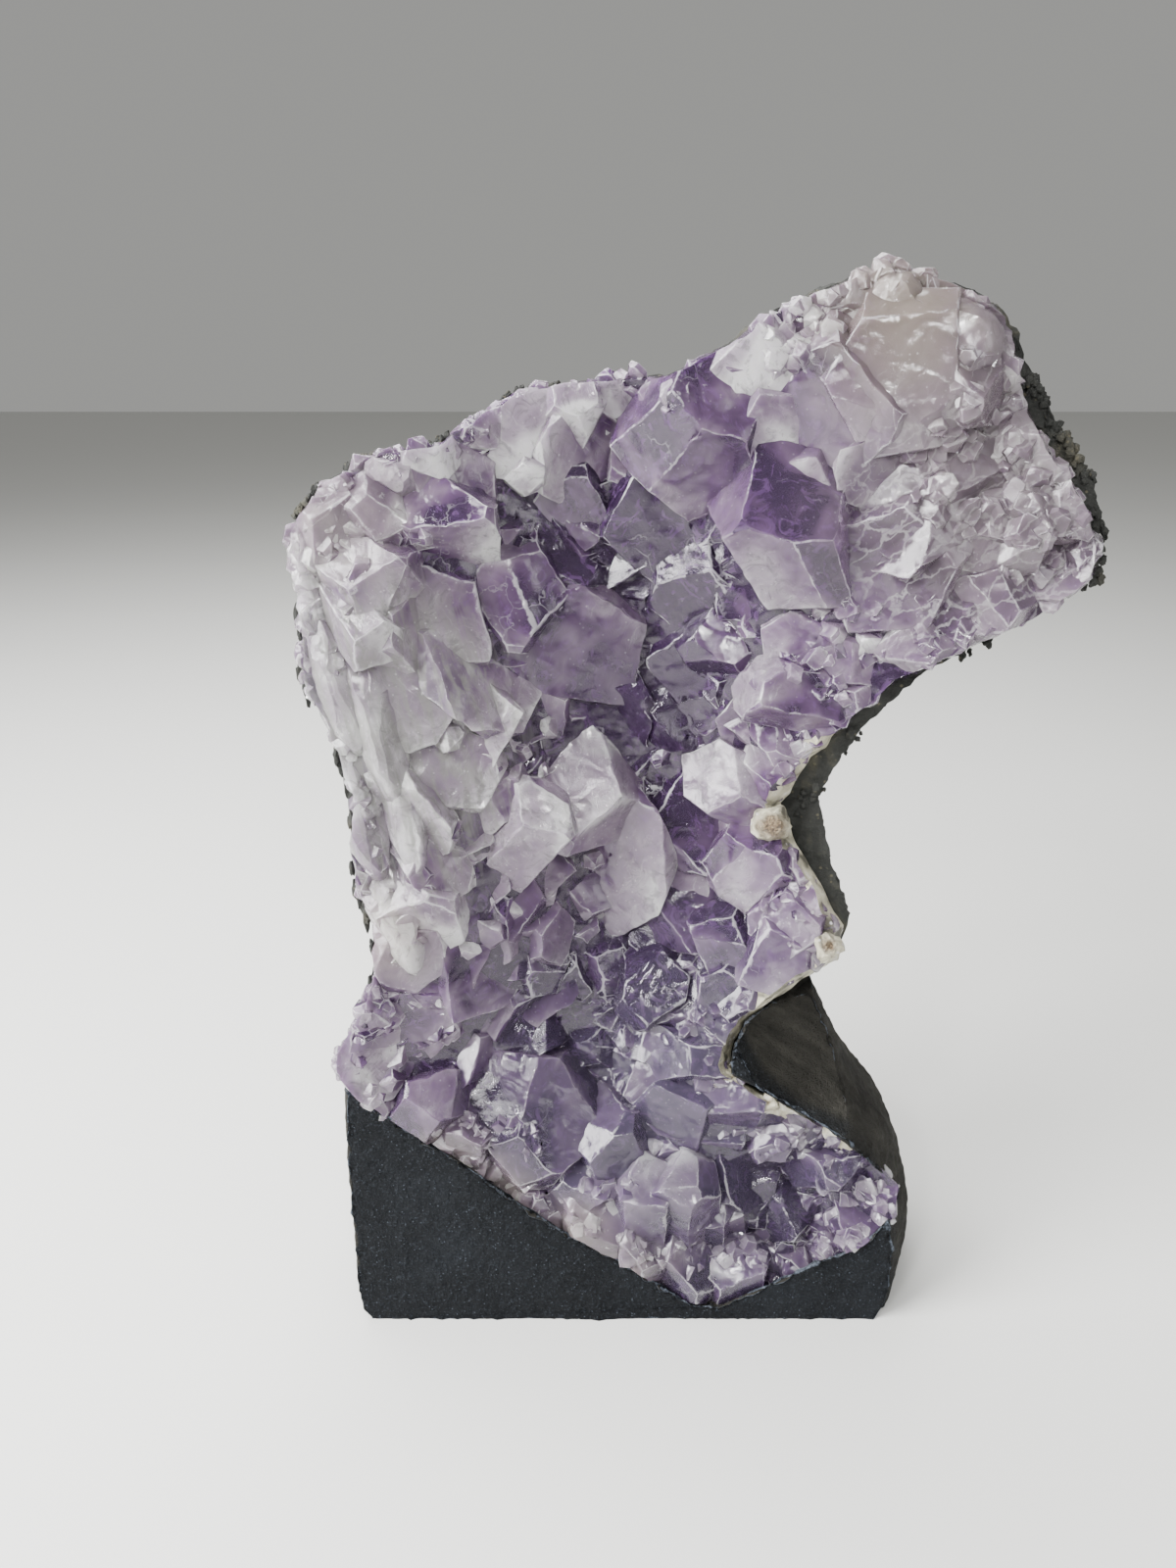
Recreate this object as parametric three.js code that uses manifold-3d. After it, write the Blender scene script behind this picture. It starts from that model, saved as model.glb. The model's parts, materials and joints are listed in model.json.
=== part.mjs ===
// Amethyst geode: a crust of quartz crystals in its broken basalt rind, standing in a cast foot.
//
// Millimetres, +Z up, X to the right, Y to the back. The origin is the centre of the foot's
// flat underside. The open face of the geode looks to -Y and leans back as it rises.
import * as THREE from 'three';
import Module from 'manifold-3d';
import { ConvexGeometry } from 'three/addons/geometries/ConvexGeometry.js';
import { ParametricGeometry } from 'three/addons/geometries/ParametricGeometry.js';
import { mergeVertices } from 'three/addons/utils/BufferGeometryUtils.js';

const wasm = await Module();
wasm.setup();

// The open face is a plane: its front edge on the ground, and how far it leans back per mm of height
const FACE_FRONT = -45;
const FACE_LEAN = 0.1;

// The face is drawn as it is seen from this point, and depths are measured along its sight lines
const VIEWPOINT = new THREE.Vector3(-10.5, -323, 286);

// Clearance between pieces that touch
const GAP = 0.3;

// Rows up the stone, each from its left edge to its right edge as seen on the face:
// left x, left z, right x, right z, width of bare rind at the right, swell of the back at the right
const ROWS = [
  [20, 6, 30, 4.5, 0, 20],
  [0, 20, 58, 19, 0, 20],
  [-17, 30, 74, 27, 0, 20],
  [-32, 41, 82, 37, 0, 20],
  [-43, 50, 82, 47, 0, 20],
  [-56, 60, 73, 56, 0, 20],
  [-70, 70, 60, 67, 0, 20],
  [-82, 79, 42, 78, 0, 20],
  [-86, 87, 32, 84, 0, 22],
  [-81, 96, 32, 91, 0, 22],
  [-76, 104, 37, 101, 1, 18],
  [-73, 112, 49, 111, 1, 9],
  [-72, 122, 62, 120, 1, 3],
  [-72, 130, 64, 130, 2, 3],
  [-76, 142, 59, 142, 4, 4],
  [-77, 154, 55, 156, 8, 5],
  [-75, 166, 53, 165, 10, 5],
  [-78, 176, 58, 175, 9, 4],
  [-81, 186, 64, 184, 8, 3],
  [-87, 200, 79, 199, 7, 2],
  [-86, 209, 92, 206, 4, 2],
  [-87, 218, 108, 215, 2, 1],
  [-86, 230, 123, 225, 2, 1],
  [-86, 240, 123, 236, 3, 1],
  [-79, 248, 119, 249, 6, 1],
  [-67, 255, 113, 256.5, 8, 1],
  [-50, 258, 110, 260.5, 7, 1],
  [-38, 265, 106, 266, 6, 1],
  [-28, 271, 102, 272, 4, 1],
  [-10, 273, 100, 275, 3, 1],
  [8, 274, 98.5, 278, 3, 0],
  [22, 281, 96, 284, 2, 0],
  [34, 289, 91.5, 289.5, 1, 0],
  [46, 294, 82, 294.5, 1, 0],
  [60, 299, 64, 299, 0, 0],
];
const LEFT_RIND = 1.5;
const CRUST_SIDES = 7;

// Hollows in the bed of the crust: from x, z to x, z, width, and how much deeper than the rim
const HOLLOWS = [
  [-6, 246, 6, 170, 40, 24],
  [2, 128, -14, 88, 30, 20],
  [45, 43, 46, 42, 22, 16],
];
const RIM_DEPTH = 12;
const CRUST_THICKNESS = 7;
const LOWEST_CRUST = 4;

// The rind's back: where it is at the ground and at the top, its lumps, how round it is in plan,
// and where up the stone and how sharply it turns over to the top edge
const BACK_LOW = 42;
const BACK_HIGH = 24;
const LUMP = 2.2;
const BACK_ROUNDNESS = 0.75;
const TOP_TURN = { from: 0.55, power: 2.4, drop: 8 };
const FIRST_RIND_ROW = 9;
const SHOULDER = 0.68;

// The foot: rows of height, left, right and back, and the outline of its back half in plan
const FOOT_ROWS = [
  [0, -83, 88, 41],
  [5, -87, 93, 45],
  [25, -87, 93, 46],
  [45, -87, 88, 45],
  [56, -87, 82, 43],
  [68, -87, 72, 41],
  [80, -85, 66, 39],
  [90, -81, 61, 37],
  [98, -77, 57.5, 36],
];
const FOOT_CORNERS = [[-81, -45], [80, -45]];
const FOOT_BACK = [
  [80, -45], [91, -18], [89, 10], [66, 36], [14, 46], [-42, 44], [-78, 27], [-87, -6], [-81, -45],
];
const FOOT_PLAN = { left: -87, right: 91, back: 46 };
const SEAM_HEIGHT = 98;
const NOTCH = { centre: [80, -60, 106], radii: [58, 50, 50] };

// The angle between a prism face of quartz and the pyramid face above it
const PYRAMID_ANGLE = THREE.MathUtils.degToRad(38.2);

// The large crystals of the face: root x, root z, tip x, tip z, rise over the bed, radius
const CRYSTALS = [
  // Top rim, from the left corner to the middle
  [-70, 252, -64, 246, 12, 7],
  [-35, 266, -31, 251, 15, 12],
  [-15, 272, -12, 257, 14, 7],
  [-6, 262, -14, 241, 17, 12],
  [-47, 250, -37, 242, 14, 8],
  [-62, 243, -51, 240, 13, 8],
  [-50, 244, -44, 235, 13, 8],
  // Upper left wall
  [-76, 240, -68, 233, 11, 7],
  [-70, 231, -54, 217, 15, 11],
  [-74, 222, -63, 204, 14, 7],
  [-47, 237, -34, 228, 15, 9],
  [-45, 226, -31, 217, 15, 8],
  [-29, 240, -26, 222, 14, 9],
  [-13, 238, -13, 219, 16, 12],
  [-50, 218, -37, 207, 15, 9],
  [-38, 216, -28, 203, 14, 8],
  [-44, 203, -25, 189, 18, 11],
  [-58, 198, -49, 184, 14, 8],
  // Long pale columns of the left wall
  [-79, 205, -67, 178, 11, 7],
  [-71, 198, -60, 168, 13, 8],
  [-76, 180, -67, 156, 11, 8],
  [-63, 190, -56, 160, 13, 7],
  [-71, 166, -62, 142, 13, 9],
  [-60, 168, -52, 149, 14, 8],
  [-68, 148, -60, 129, 13, 9],
  [-55, 152, -47, 138, 14, 7],
  [-69, 134, -60, 117, 11, 8],
  [-58, 136, -48, 124, 13, 8],
  // Broken ridge beside the hollow
  [-47, 192, -35, 177, 17, 9],
  [-48, 176, -40, 165, 15, 8],
  [-50, 164, -44, 151, 14, 7],
  [-30, 158, -18, 171, 16, 9],
  [-17, 174, -13, 188, 11, 12],
  [-42, 163, -34, 152, 13, 8],
  [-46, 148, -34, 140, 13, 8],
  // The deep hollow
  [18, 260, 10, 241, 17, 14],
  [14, 242, 14, 222, 15, 13],
  [-17, 208, 4, 209, 18, 12],
  [-21, 222, -17, 211, 12, 8],
  [20, 206, 14, 193, 10, 9],
  [16, 223, 17, 211, 11, 8],
  [1, 199, -4, 190, 11, 8],
  [-2, 190, 3, 180, 12, 8],
  [-13, 172, -9, 160, 11, 7],
  [22, 163, 27, 149, 15, 10],
  [-10, 149, 3, 128, 20, 16],
  [-24, 140, -12, 126, 15, 9],
  // Middle of the upper face
  [40, 237, 36, 217, 17, 13],
  [44, 250, 40, 241, 14, 8],
  [34, 265, 40, 253, 12, 8],
  [6, 262, 8, 248, 14, 9],
  [3, 270, 6, 260, 13, 9],
  [20, 276, 18, 266, 13, 8],
  [29, 277, 30, 266, 13, 8],
  [38, 276, 38, 265, 13, 9],
  [50, 268, 52, 252, 15, 11],
  // Right lobe: the dome, the smooth band and the striated fan under it
  [62, 296, 60, 276, 18, 15],
  [79, 292, 80, 278, 16, 13],
  [51, 289, 50, 274, 14, 10],
  [91, 285, 90, 275, 12, 8],
  [62, 272, 60, 258, 15, 12],
  [78, 272, 72, 262, 12, 9],
  [74, 258, 54, 246, 15, 8],
  [80, 250, 58, 238, 14, 8],
  [77, 240, 60, 229, 13, 8],
  [87, 263, 82, 250, 15, 9],
  [96, 266, 92, 256, 12, 8],
  [103, 258, 98, 246, 12, 8],
  [112, 247, 104, 239, 12, 8],
  [117, 236, 110, 229, 11, 8],
  [99, 242, 92, 232, 13, 8],
  [89, 239, 84, 228, 13, 7],
  [108, 227, 100, 223, 11, 7],
  [69, 231, 57, 215, 15, 11],
  [80, 222, 69, 212, 13, 9],
  [93, 220, 85, 213, 12, 8],
  [76, 208, 66, 206, 11, 7],
  // Slabs of the right wall, pointing up to the left
  [56, 205, 35, 208, 15, 8],
  [50, 195, 28, 199, 15, 8],
  [42, 180, 24, 189, 14, 7],
  [36, 167, 15, 178, 14, 8],
  // Right shoulder over the notch
  [14, 149, 20, 138, 13, 7],
  [36, 149, 32, 137, 13, 9],
  [59, 132, 54, 122, 11, 8],
  [46, 132, 44, 121, 12, 7],
  [18, 136, 20, 124, 14, 8],
  [27, 129, 20, 115, 15, 10],
  [42, 122, 35, 112, 12, 8],
  [7, 120, 8, 101, 14, 10],
  [-9, 120, -11, 102, 11, 8],
  [-16, 98, -14, 84, 9, 8],
  [27, 112, 16, 102, 12, 9],
  [9, 103, -4, 95, 12, 8],
  // Lower left
  [-27, 127, -24, 99, 18, 10],
  [-44, 128, -34, 101, 19, 9],
  [-54, 126, -46, 106, 16, 8],
  [-64, 127, -55, 113, 13, 8],
  [-84, 87, -67, 87, 13, 9],
  [-79, 97, -64, 94, 11, 7],
  [-73, 110, -63, 103, 11, 7],
  [-66, 105, -51, 94, 14, 8],
  [-61, 70, -51, 84, 14, 9],
  [-44, 80, -42, 89, 11, 8],
  [-46, 62, -43, 76, 14, 8],
  [-30, 75, -13, 64, 20, 13],
  [-37, 83, -30, 73, 13, 7],
  // Lower middle
  [30, 80, 0, 84, 15, 9],
  [28, 90, 4, 91, 13, 7],
  [28, 71, 2, 75, 14, 7],
  [-2, 63, -8, 78, 13, 9],
  [-15, 50, -4, 58, 12, 8],
  [20, 70, 26, 58, 12, 9],
  [6, 38, 7, 56, 14, 8],
  [17, 36, 18, 54, 15, 8.5],
  [-9, 34, -6, 48, 12, 8],
  [6, 21, 7, 36, 12, 8],
  [20, 17, 20, 32, 12, 8],
  // Lower right, round the small hollow
  [45, 61, 42, 61, 15, 8],
  [61, 63, 54, 56, 11, 8],
  [45, 42, 45, 45, 7, 10],
  [49, 22, 50, 35, 17, 8],
  [33, 16, 34, 29, 13, 8],
  [77, 48, 67, 50, 12, 8],
  [76, 36, 66, 40, 13, 8],
];

// A repeatable random number from 0 to 1
let seed = 20260;
function random() {
  seed = (seed * 16807) % 2147483647;
  return seed / 2147483647;
}

// A point as seen at x, z on the face, pushed back along its sight line
function behindFace(x, z, depth) {
  const onFace = new THREE.Vector3(x, FACE_FRONT + FACE_LEAN * z, z);
  const sight = onFace.clone().sub(VIEWPOINT);
  return onFace.addScaledVector(sight, depth / (sight.y - FACE_LEAN * sight.z));
}

// How far the bed of the crust lies behind the face
function bedDepth(x, z) {
  let depth = RIM_DEPTH;
  for (const [x0, z0, x1, z1, width, extra] of HOLLOWS) {
    const dx = x1 - x0;
    const dz = z1 - z0;
    const along = THREE.MathUtils.clamp(((x - x0) * dx + (z - z0) * dz) / (dx * dx + dz * dz), 0, 1);
    const distance = Math.hypot(x - x0 - along * dx, z - z0 - along * dz);
    depth += extra * Math.exp(-((distance / width) ** 2));
  }
  return depth;
}

// The direction straight into the bed
function bedNormal(x, z) {
  const slopeX = (bedDepth(x + 1, z) - bedDepth(x - 1, z)) / 2;
  const slopeZ = (bedDepth(x, z + 1) - bedDepth(x, z - 1)) / 2;
  return new THREE.Vector3(-slopeX, 1, -slopeZ - FACE_LEAN).normalize();
}

// Linear reading of a table of rows at a place from 0 to 1
function rowAt(rows, place) {
  const at = THREE.MathUtils.clamp(place, 0, 1) * (rows.length - 1);
  const low = Math.min(Math.floor(at), rows.length - 2);
  return rows[low].map((value, column) => THREE.MathUtils.lerp(value, rows[low + 1][column], at - low));
}

// The crust on a row: the row's line on the face, its length, and where the crust starts and ends
function crustSpan(row) {
  const LARGEST_INSET = 0.45;
  const [leftX, leftZ, rightX, rightZ, bareRind] = row;
  const from = new THREE.Vector2(leftX, leftZ);
  const direction = new THREE.Vector2(rightX, rightZ).sub(from);
  const length = direction.length();
  const start = Math.min(LEFT_RIND, length * LARGEST_INSET);
  const end = length - Math.min(LEFT_RIND + bareRind, length * LARGEST_INSET);
  return { from, direction: direction.normalize(), length, start, end };
}

// A point at a depth behind the bed on one side across a row: the first side and the last are
// outside the crust by a margin, and the others are spread over the crust
function acrossBed(row, side, depth, leftMargin, rightMargin) {
  const { from, direction, start, end } = crustSpan(row);
  let along = THREE.MathUtils.lerp(start, end, THREE.MathUtils.clamp((side - 1) / (CRUST_SIDES - 1), 0, 1));
  if (side === 0) along -= leftMargin;
  if (side === CRUST_SIDES + 1) along += rightMargin;
  const at = from.addScaledVector(direction, along);
  return behindFace(at.x, at.y, bedDepth(at.x, at.y) + depth);
}

function toSolid(geometry) {
  geometry.deleteAttribute('normal');
  geometry.deleteAttribute('uv');
  const merged = mergeVertices(geometry, 1e-4);
  const corners = merged.index.array;
  const triangles = [];
  for (let i = 0; i < corners.length; i += 3) {
    const [a, b, c] = corners.slice(i, i + 3);
    if (a !== b && b !== c && c !== a) triangles.push(a, b, c);
  }
  return new wasm.Manifold(new wasm.Mesh({
    numProp: 3,
    vertProperties: new Float32Array(merged.attributes.position.array),
    triVerts: new Uint32Array(triangles),
  }));
}

// Everything lower than a height
function below(height) {
  const SIZE = 400;
  return toSolid(new THREE.BoxGeometry(SIZE, SIZE, SIZE)).translate([0, 0, height - SIZE / 2]);
}

function toMesh(solid, name, material) {
  const { numProp, vertProperties, triVerts } = solid.getMesh();
  const geometry = new THREE.BufferGeometry();
  const points = new THREE.InterleavedBuffer(vertProperties, numProp);
  geometry.setAttribute('position', new THREE.InterleavedBufferAttribute(points, 3, 0));
  geometry.setIndex(new THREE.BufferAttribute(triVerts, 1));
  const mesh = new THREE.Mesh(geometry, material);
  mesh.name = name;
  return mesh;
}

// A closed skin over rings: ring(place, side) gives a point, and both ends are drawn to their centre
function loft(ring, sides, steps) {
  const centreOf = (place) => {
    const centre = new THREE.Vector3();
    for (let side = 0; side < sides; side += 1) centre.add(ring(place, side));
    return centre.divideScalar(sides);
  };
  const low = centreOf(0);
  const high = centreOf(1);
  const surface = (u, v, target) => {
    const step = Math.round(v * (steps + 2));
    if (step === 0) target.copy(low);
    else if (step === steps + 2) target.copy(high);
    else target.copy(ring((step - 1) / steps, Math.round(u * sides) % sides));
  };
  return toSolid(new ParametricGeometry(surface, sides, steps + 2));
}

// The space between two depths measured from the bed, inside the crust's outline and a margin
function bedSlab(behind, ahead, margin) {
  const sides = CRUST_SIDES + 2;
  const ring = (place, side) => {
    const isBack = side < sides;
    const across = isBack ? sides - 1 - side : side - sides;
    const point = acrossBed(rowAt(ROWS, place), across, isBack ? behind : -ahead, margin, margin);
    const isOuter = across === 0 || across === sides - 1;
    if (place === 0) point.z -= margin;
    if (place === 1) point.z += Math.min(margin, GAP);
    if (isOuter && place > SHOULDER) point.z += margin;
    return point;
  };
  return loft(ring, 2 * sides, ROWS.length - 1);
}

// The rind: its front follows the bed of the crust and its back is broken rock, down to the foot
function makeRind() {
  const BACK_SIDES = 13;
  const AHEAD_OF_BED = 8;
  const BEYOND_FRONT = 80;
  const BEYOND_SIDES = 20;
  const ring = (place, side) => {
    const along = THREE.MathUtils.lerp(FIRST_RIND_ROW / (ROWS.length - 1), 1, place);
    const row = rowAt(ROWS, along);
    const { start, end, length } = crustSpan(row);
    const isFront = side < 2;
    const depth = isFront ? -AHEAD_OF_BED : GAP;
    const left = acrossBed(row, 0, depth, start, 0);
    const right = acrossBed(row, CRUST_SIDES + 1, depth, 0, length - end);
    if (isFront) return side === 0 ? left : right;
    const angle = Math.PI * (side - 1) / (BACK_SIDES + 1);
    const swell = Math.sin(angle) ** BACK_ROUNDNESS;
    const share = (1 + Math.cos(angle)) / 2;
    const point = left.clone().lerp(right, share);
    point.x += row[5] * swell * share ** 2;
    const backAt = THREE.MathUtils.lerp(BACK_LOW, BACK_HIGH, point.z / ROWS.at(-1)[1]);
    const turn = Math.max(0, (along - TOP_TURN.from) / (1 - TOP_TURN.from)) ** TOP_TURN.power;
    const fullness = Math.sqrt(Math.max(0.02, 1 - turn));
    const lumps = LUMP * Math.sin(point.x / 13 + point.z / 21) * Math.cos(point.z / 12 - point.x / 29);
    point.y += ((backAt - point.y) * fullness + lumps) * swell;
    point.z -= Math.min(TOP_TURN.drop, (right.x - left.x) / 20) * (1 - fullness) * swell;
    return point;
  };
  const rock = loft(ring, BACK_SIDES + 2, ROWS.length - 1 - FIRST_RIND_ROW);
  return rock.subtract(bedSlab(GAP, BEYOND_FRONT, BEYOND_SIDES)).subtract(below(SEAM_HEIGHT + GAP));
}

// The foot: a flat front with room for the crust, a round back, and a notch beside the waist
function makeFoot() {
  const FRONT_SIDES = 6;
  const BACK_SIDES = 18;
  const STEPS = 12;
  const BEYOND_FRONT = 80;
  const corners = FOOT_CORNERS.map(([x, y]) => new THREE.Vector3(x, y, 0));
  const back = new THREE.CatmullRomCurve3(FOOT_BACK.map(([x, y]) => new THREE.Vector3(x, y, 0)));
  const ring = (place, side) => {
    const [height, left, right, rear] = rowAt(FOOT_ROWS, place);
    const plan = side < FRONT_SIDES
      ? corners[0].clone().lerp(corners[1], side / (FRONT_SIDES - 1))
      : back.getPoint((side - FRONT_SIDES + 1) / (BACK_SIDES + 1));
    const x = THREE.MathUtils.mapLinear(plan.x, FOOT_PLAN.left, FOOT_PLAN.right, left, right);
    const front = FACE_FRONT + FACE_LEAN * height;
    const y = THREE.MathUtils.mapLinear(plan.y, FACE_FRONT, FOOT_PLAN.back, front, rear);
    return new THREE.Vector3(x, y, height);
  };
  const notch = toSolid(new THREE.SphereGeometry(1, 20, 14).scale(...NOTCH.radii));
  const crustRoom = bedSlab(GAP, BEYOND_FRONT, 2 * GAP).subtract(below(LOWEST_CRUST - GAP));
  const block = loft(ring, FRONT_SIDES + BACK_SIDES, STEPS);
  return block.subtract(crustRoom).subtract(notch.translate(NOTCH.centre));
}

// A quartz crystal as the space inside its six prism faces and the three large faces of its tip,
// cut off along the bed
function makeCrystal(root, tip, radius, intoBed) {
  const BURIED = 4;
  const axis = tip.clone().sub(root).normalize();
  const side = new THREE.Vector3(1, 0, 0).cross(axis).normalize();
  const roll = random() * Math.PI;
  const faces = [
    new THREE.Plane().setFromNormalAndCoplanarPoint(intoBed, root.clone().addScaledVector(intoBed, BURIED)),
    new THREE.Plane().setFromNormalAndCoplanarPoint(axis.clone().negate(), root.clone().addScaledVector(axis, -radius)),
  ];
  for (let k = 0; k < 6; k += 1) {
    const out = side.clone().applyAxisAngle(axis, roll + k * Math.PI / 3);
    const reach = radius * THREE.MathUtils.lerp(0.85, 1.2, random());
    const edge = root.clone().addScaledVector(out, reach);
    faces.push(new THREE.Plane().setFromNormalAndCoplanarPoint(out, edge));
    if (k % 2 === 1) continue;
    const slope = out.multiplyScalar(Math.cos(PYRAMID_ANGLE)).addScaledVector(axis, Math.sin(PYRAMID_ANGLE));
    const through = tip.clone().addScaledVector(slope, -radius * 0.1 * random());
    faces.push(new THREE.Plane().setFromNormalAndCoplanarPoint(slope, through));
  }
  return toSolid(new ConvexGeometry(cornersInside(faces)));
}

// The corners of a convex solid: where three faces meet without standing outside another
function cornersInside(faces) {
  const corners = [];
  for (let i = 0; i < faces.length; i += 1) {
    for (let j = i + 1; j < faces.length; j += 1) {
      const line = faces[i].normal.clone().cross(faces[j].normal);
      for (let k = j + 1; k < faces.length; k += 1) {
        const volume = line.dot(faces[k].normal);
        if (Math.abs(volume) < 1e-6) continue;
        const corner = faces[j].normal.clone().cross(faces[k].normal).multiplyScalar(-faces[i].constant);
        corner.addScaledVector(faces[k].normal.clone().cross(faces[i].normal), -faces[j].constant);
        corner.addScaledVector(line, -faces[k].constant).divideScalar(volume);
        const inside = faces.every((face) => face.distanceToPoint(corner) < 1e-6);
        if (inside && corners.every((other) => other.distanceTo(corner) > 1e-3)) corners.push(corner);
      }
    }
  }
  return corners;
}

function placedCrystal(rootX, rootZ, tipX, tipZ, rise, radius) {
  const ROOT_RISE = 2;
  const root = behindFace(rootX, rootZ, bedDepth(rootX, rootZ) - ROOT_RISE);
  const tip = behindFace(tipX, tipZ, bedDepth(tipX, tipZ) - rise);
  return makeCrystal(root, tip, radius, bedNormal(rootX, rootZ));
}

// The crust: a shell over the bed joined with its crystals, cut to its outline and its bed
function makeCrust() {
  const OVERSIZE = 3;
  const HIGHEST_TIP = 25;
  const shell = bedSlab(OVERSIZE, CRUST_THICKNESS, OVERSIZE);
  const crystals = CRYSTALS.map((values) => placedCrystal(...values));
  const room = bedSlab(0, HIGHEST_TIP, 0).subtract(below(LOWEST_CRUST));
  return wasm.Manifold.union([shell, ...crystals]).intersect(room);
}

const crustMaterial = new THREE.MeshStandardMaterial({ color: 0x9b8fa6, roughness: 0.2, metalness: 0 });
const rindMaterial = new THREE.MeshStandardMaterial({ color: 0x3f413f, roughness: 0.9, metalness: 0 });
const footMaterial = new THREE.MeshStandardMaterial({ color: 0x24292d, roughness: 0.85, metalness: 0 });

const geode = new THREE.Group();
geode.name = 'amethyst_geode';
geode.add(toMesh(makeCrust(), 'crystal_crust', crustMaterial));
geode.add(toMesh(makeRind(), 'basalt_rind', rindMaterial));
geode.add(toMesh(makeFoot(), 'cast_foot', footMaterial));

export default geode;
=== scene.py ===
# An amethyst geode: a crust of quartz crystals in its broken basalt rind, standing in a cast foot.
#
# The pieces are modelled in millimetres in the frame's own axes, with Z up and the open face of the
# geode towards -Y, and are brought to metres when they are finished.
import json
import math
import random

import bmesh
import bpy
from bpy.props import FloatProperty, FloatVectorProperty, IntProperty, PointerProperty
from bpy.types import Operator, Panel, PropertyGroup
from mathutils import Matrix, Vector, noise
from mathutils.bvhtree import BVHTree

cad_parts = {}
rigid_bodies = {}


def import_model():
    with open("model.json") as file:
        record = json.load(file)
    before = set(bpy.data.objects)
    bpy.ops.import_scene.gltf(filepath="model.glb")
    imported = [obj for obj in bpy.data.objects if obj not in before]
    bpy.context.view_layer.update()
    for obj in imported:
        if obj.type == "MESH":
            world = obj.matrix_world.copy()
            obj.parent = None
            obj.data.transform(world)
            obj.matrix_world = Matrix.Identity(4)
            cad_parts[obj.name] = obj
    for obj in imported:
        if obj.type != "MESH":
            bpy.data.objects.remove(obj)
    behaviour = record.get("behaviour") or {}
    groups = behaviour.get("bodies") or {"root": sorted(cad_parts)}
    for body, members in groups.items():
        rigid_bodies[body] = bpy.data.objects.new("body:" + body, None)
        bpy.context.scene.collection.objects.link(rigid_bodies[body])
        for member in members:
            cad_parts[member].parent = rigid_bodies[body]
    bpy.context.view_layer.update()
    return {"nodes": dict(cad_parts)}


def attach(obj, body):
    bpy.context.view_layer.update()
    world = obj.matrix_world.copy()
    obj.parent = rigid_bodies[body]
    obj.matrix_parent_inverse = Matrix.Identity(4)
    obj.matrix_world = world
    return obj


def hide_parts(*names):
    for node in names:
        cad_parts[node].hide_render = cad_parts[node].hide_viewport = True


bl_info = {
    "name": "Amethyst Geode",
    "version": (1, 0, 0),
    "blender": (4, 5, 0),
    "location": "3D View > Sidebar > Geode",
    "description": "Builds an amethyst geode in its basalt rind on a cast foot",
    "category": "Add Mesh",
}

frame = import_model()
MM = 0.001

# The open face is a plane: its front edge on the ground, and its lean back for each mm of height.
# Depths behind it are measured along the sight lines from the viewpoint.
FACE_FRONT = -45
FACE_LEAN = 0.1
VIEWPOINT = Vector((-10.5, -323, 286))
CAMERA_TILT = 21.35

# Rows up the stone: left x, left z, right x, right z, width of bare rind at the right
ROWS = [
    (20, 6, 30, 4.5, 0),
    (0, 20, 58, 19, 0),
    (-17, 30, 74, 27, 0),
    (-32, 41, 82, 37, 0),
    (-43, 50, 82, 47, 0),
    (-56, 60, 73, 56, 0),
    (-70, 70, 60, 67, 0),
    (-82, 79, 42, 78, 0),
    (-86, 87, 32, 84, 0),
    (-81, 96, 32, 91, 0),
    (-76, 104, 37, 101, 1),
    (-73, 112, 49, 111, 1),
    (-72, 122, 62, 120, 1),
    (-72, 130, 64, 130, 2),
    (-76, 142, 59, 142, 4),
    (-77, 154, 55, 156, 8),
    (-75, 166, 53, 165, 10),
    (-78, 176, 58, 175, 9),
    (-81, 186, 64, 184, 8),
    (-87, 200, 79, 199, 7),
    (-86, 209, 92, 206, 4),
    (-87, 218, 108, 215, 2),
    (-86, 230, 123, 225, 2),
    (-86, 240, 123, 236, 3),
    (-79, 248, 119, 249, 6),
    (-67, 255, 113, 256.5, 8),
    (-50, 258, 110, 260.5, 7),
    (-38, 265, 106, 266, 6),
    (-28, 271, 102, 272, 4),
    (-10, 273, 100, 275, 3),
    (8, 274, 98.5, 278, 3),
    (22, 281, 96, 284, 2),
    (34, 289, 91.5, 289.5, 1),
    (46, 294, 82, 294.5, 1),
    (60, 299, 64, 299, 0),
]

# Width of bare rind at the left, and how far up the stone the foot's lip holds the crust instead
LEFT_RIND = 1.5
FOOT_PLACE = 0.2
# How far up the stone the upper rim starts, which is ragged in height too
UPPER_RIM = 0.68

# Hollows in the bed of the crust: from x, z to x, z, width, and how much deeper than the rim
HOLLOWS = [
    (-6, 246, 6, 170, 40, 24),
    (2, 128, -14, 88, 30, 20),
    (45, 43, 46, 42, 22, 16),
]
# How far the bed lies behind the face at the rim, how thick it is, how far ahead of it the crust may
# reach, and the lowest that the crust comes
RIM_DEPTH = 12
BED_THICKNESS = 8.5
CRUST_ROOM = 28
LOWEST_CRUST = 2
# Faces of the bed across the stone, and from one row to the next
ACROSS = 22
STEPS_PER_ROW = 3

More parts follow.
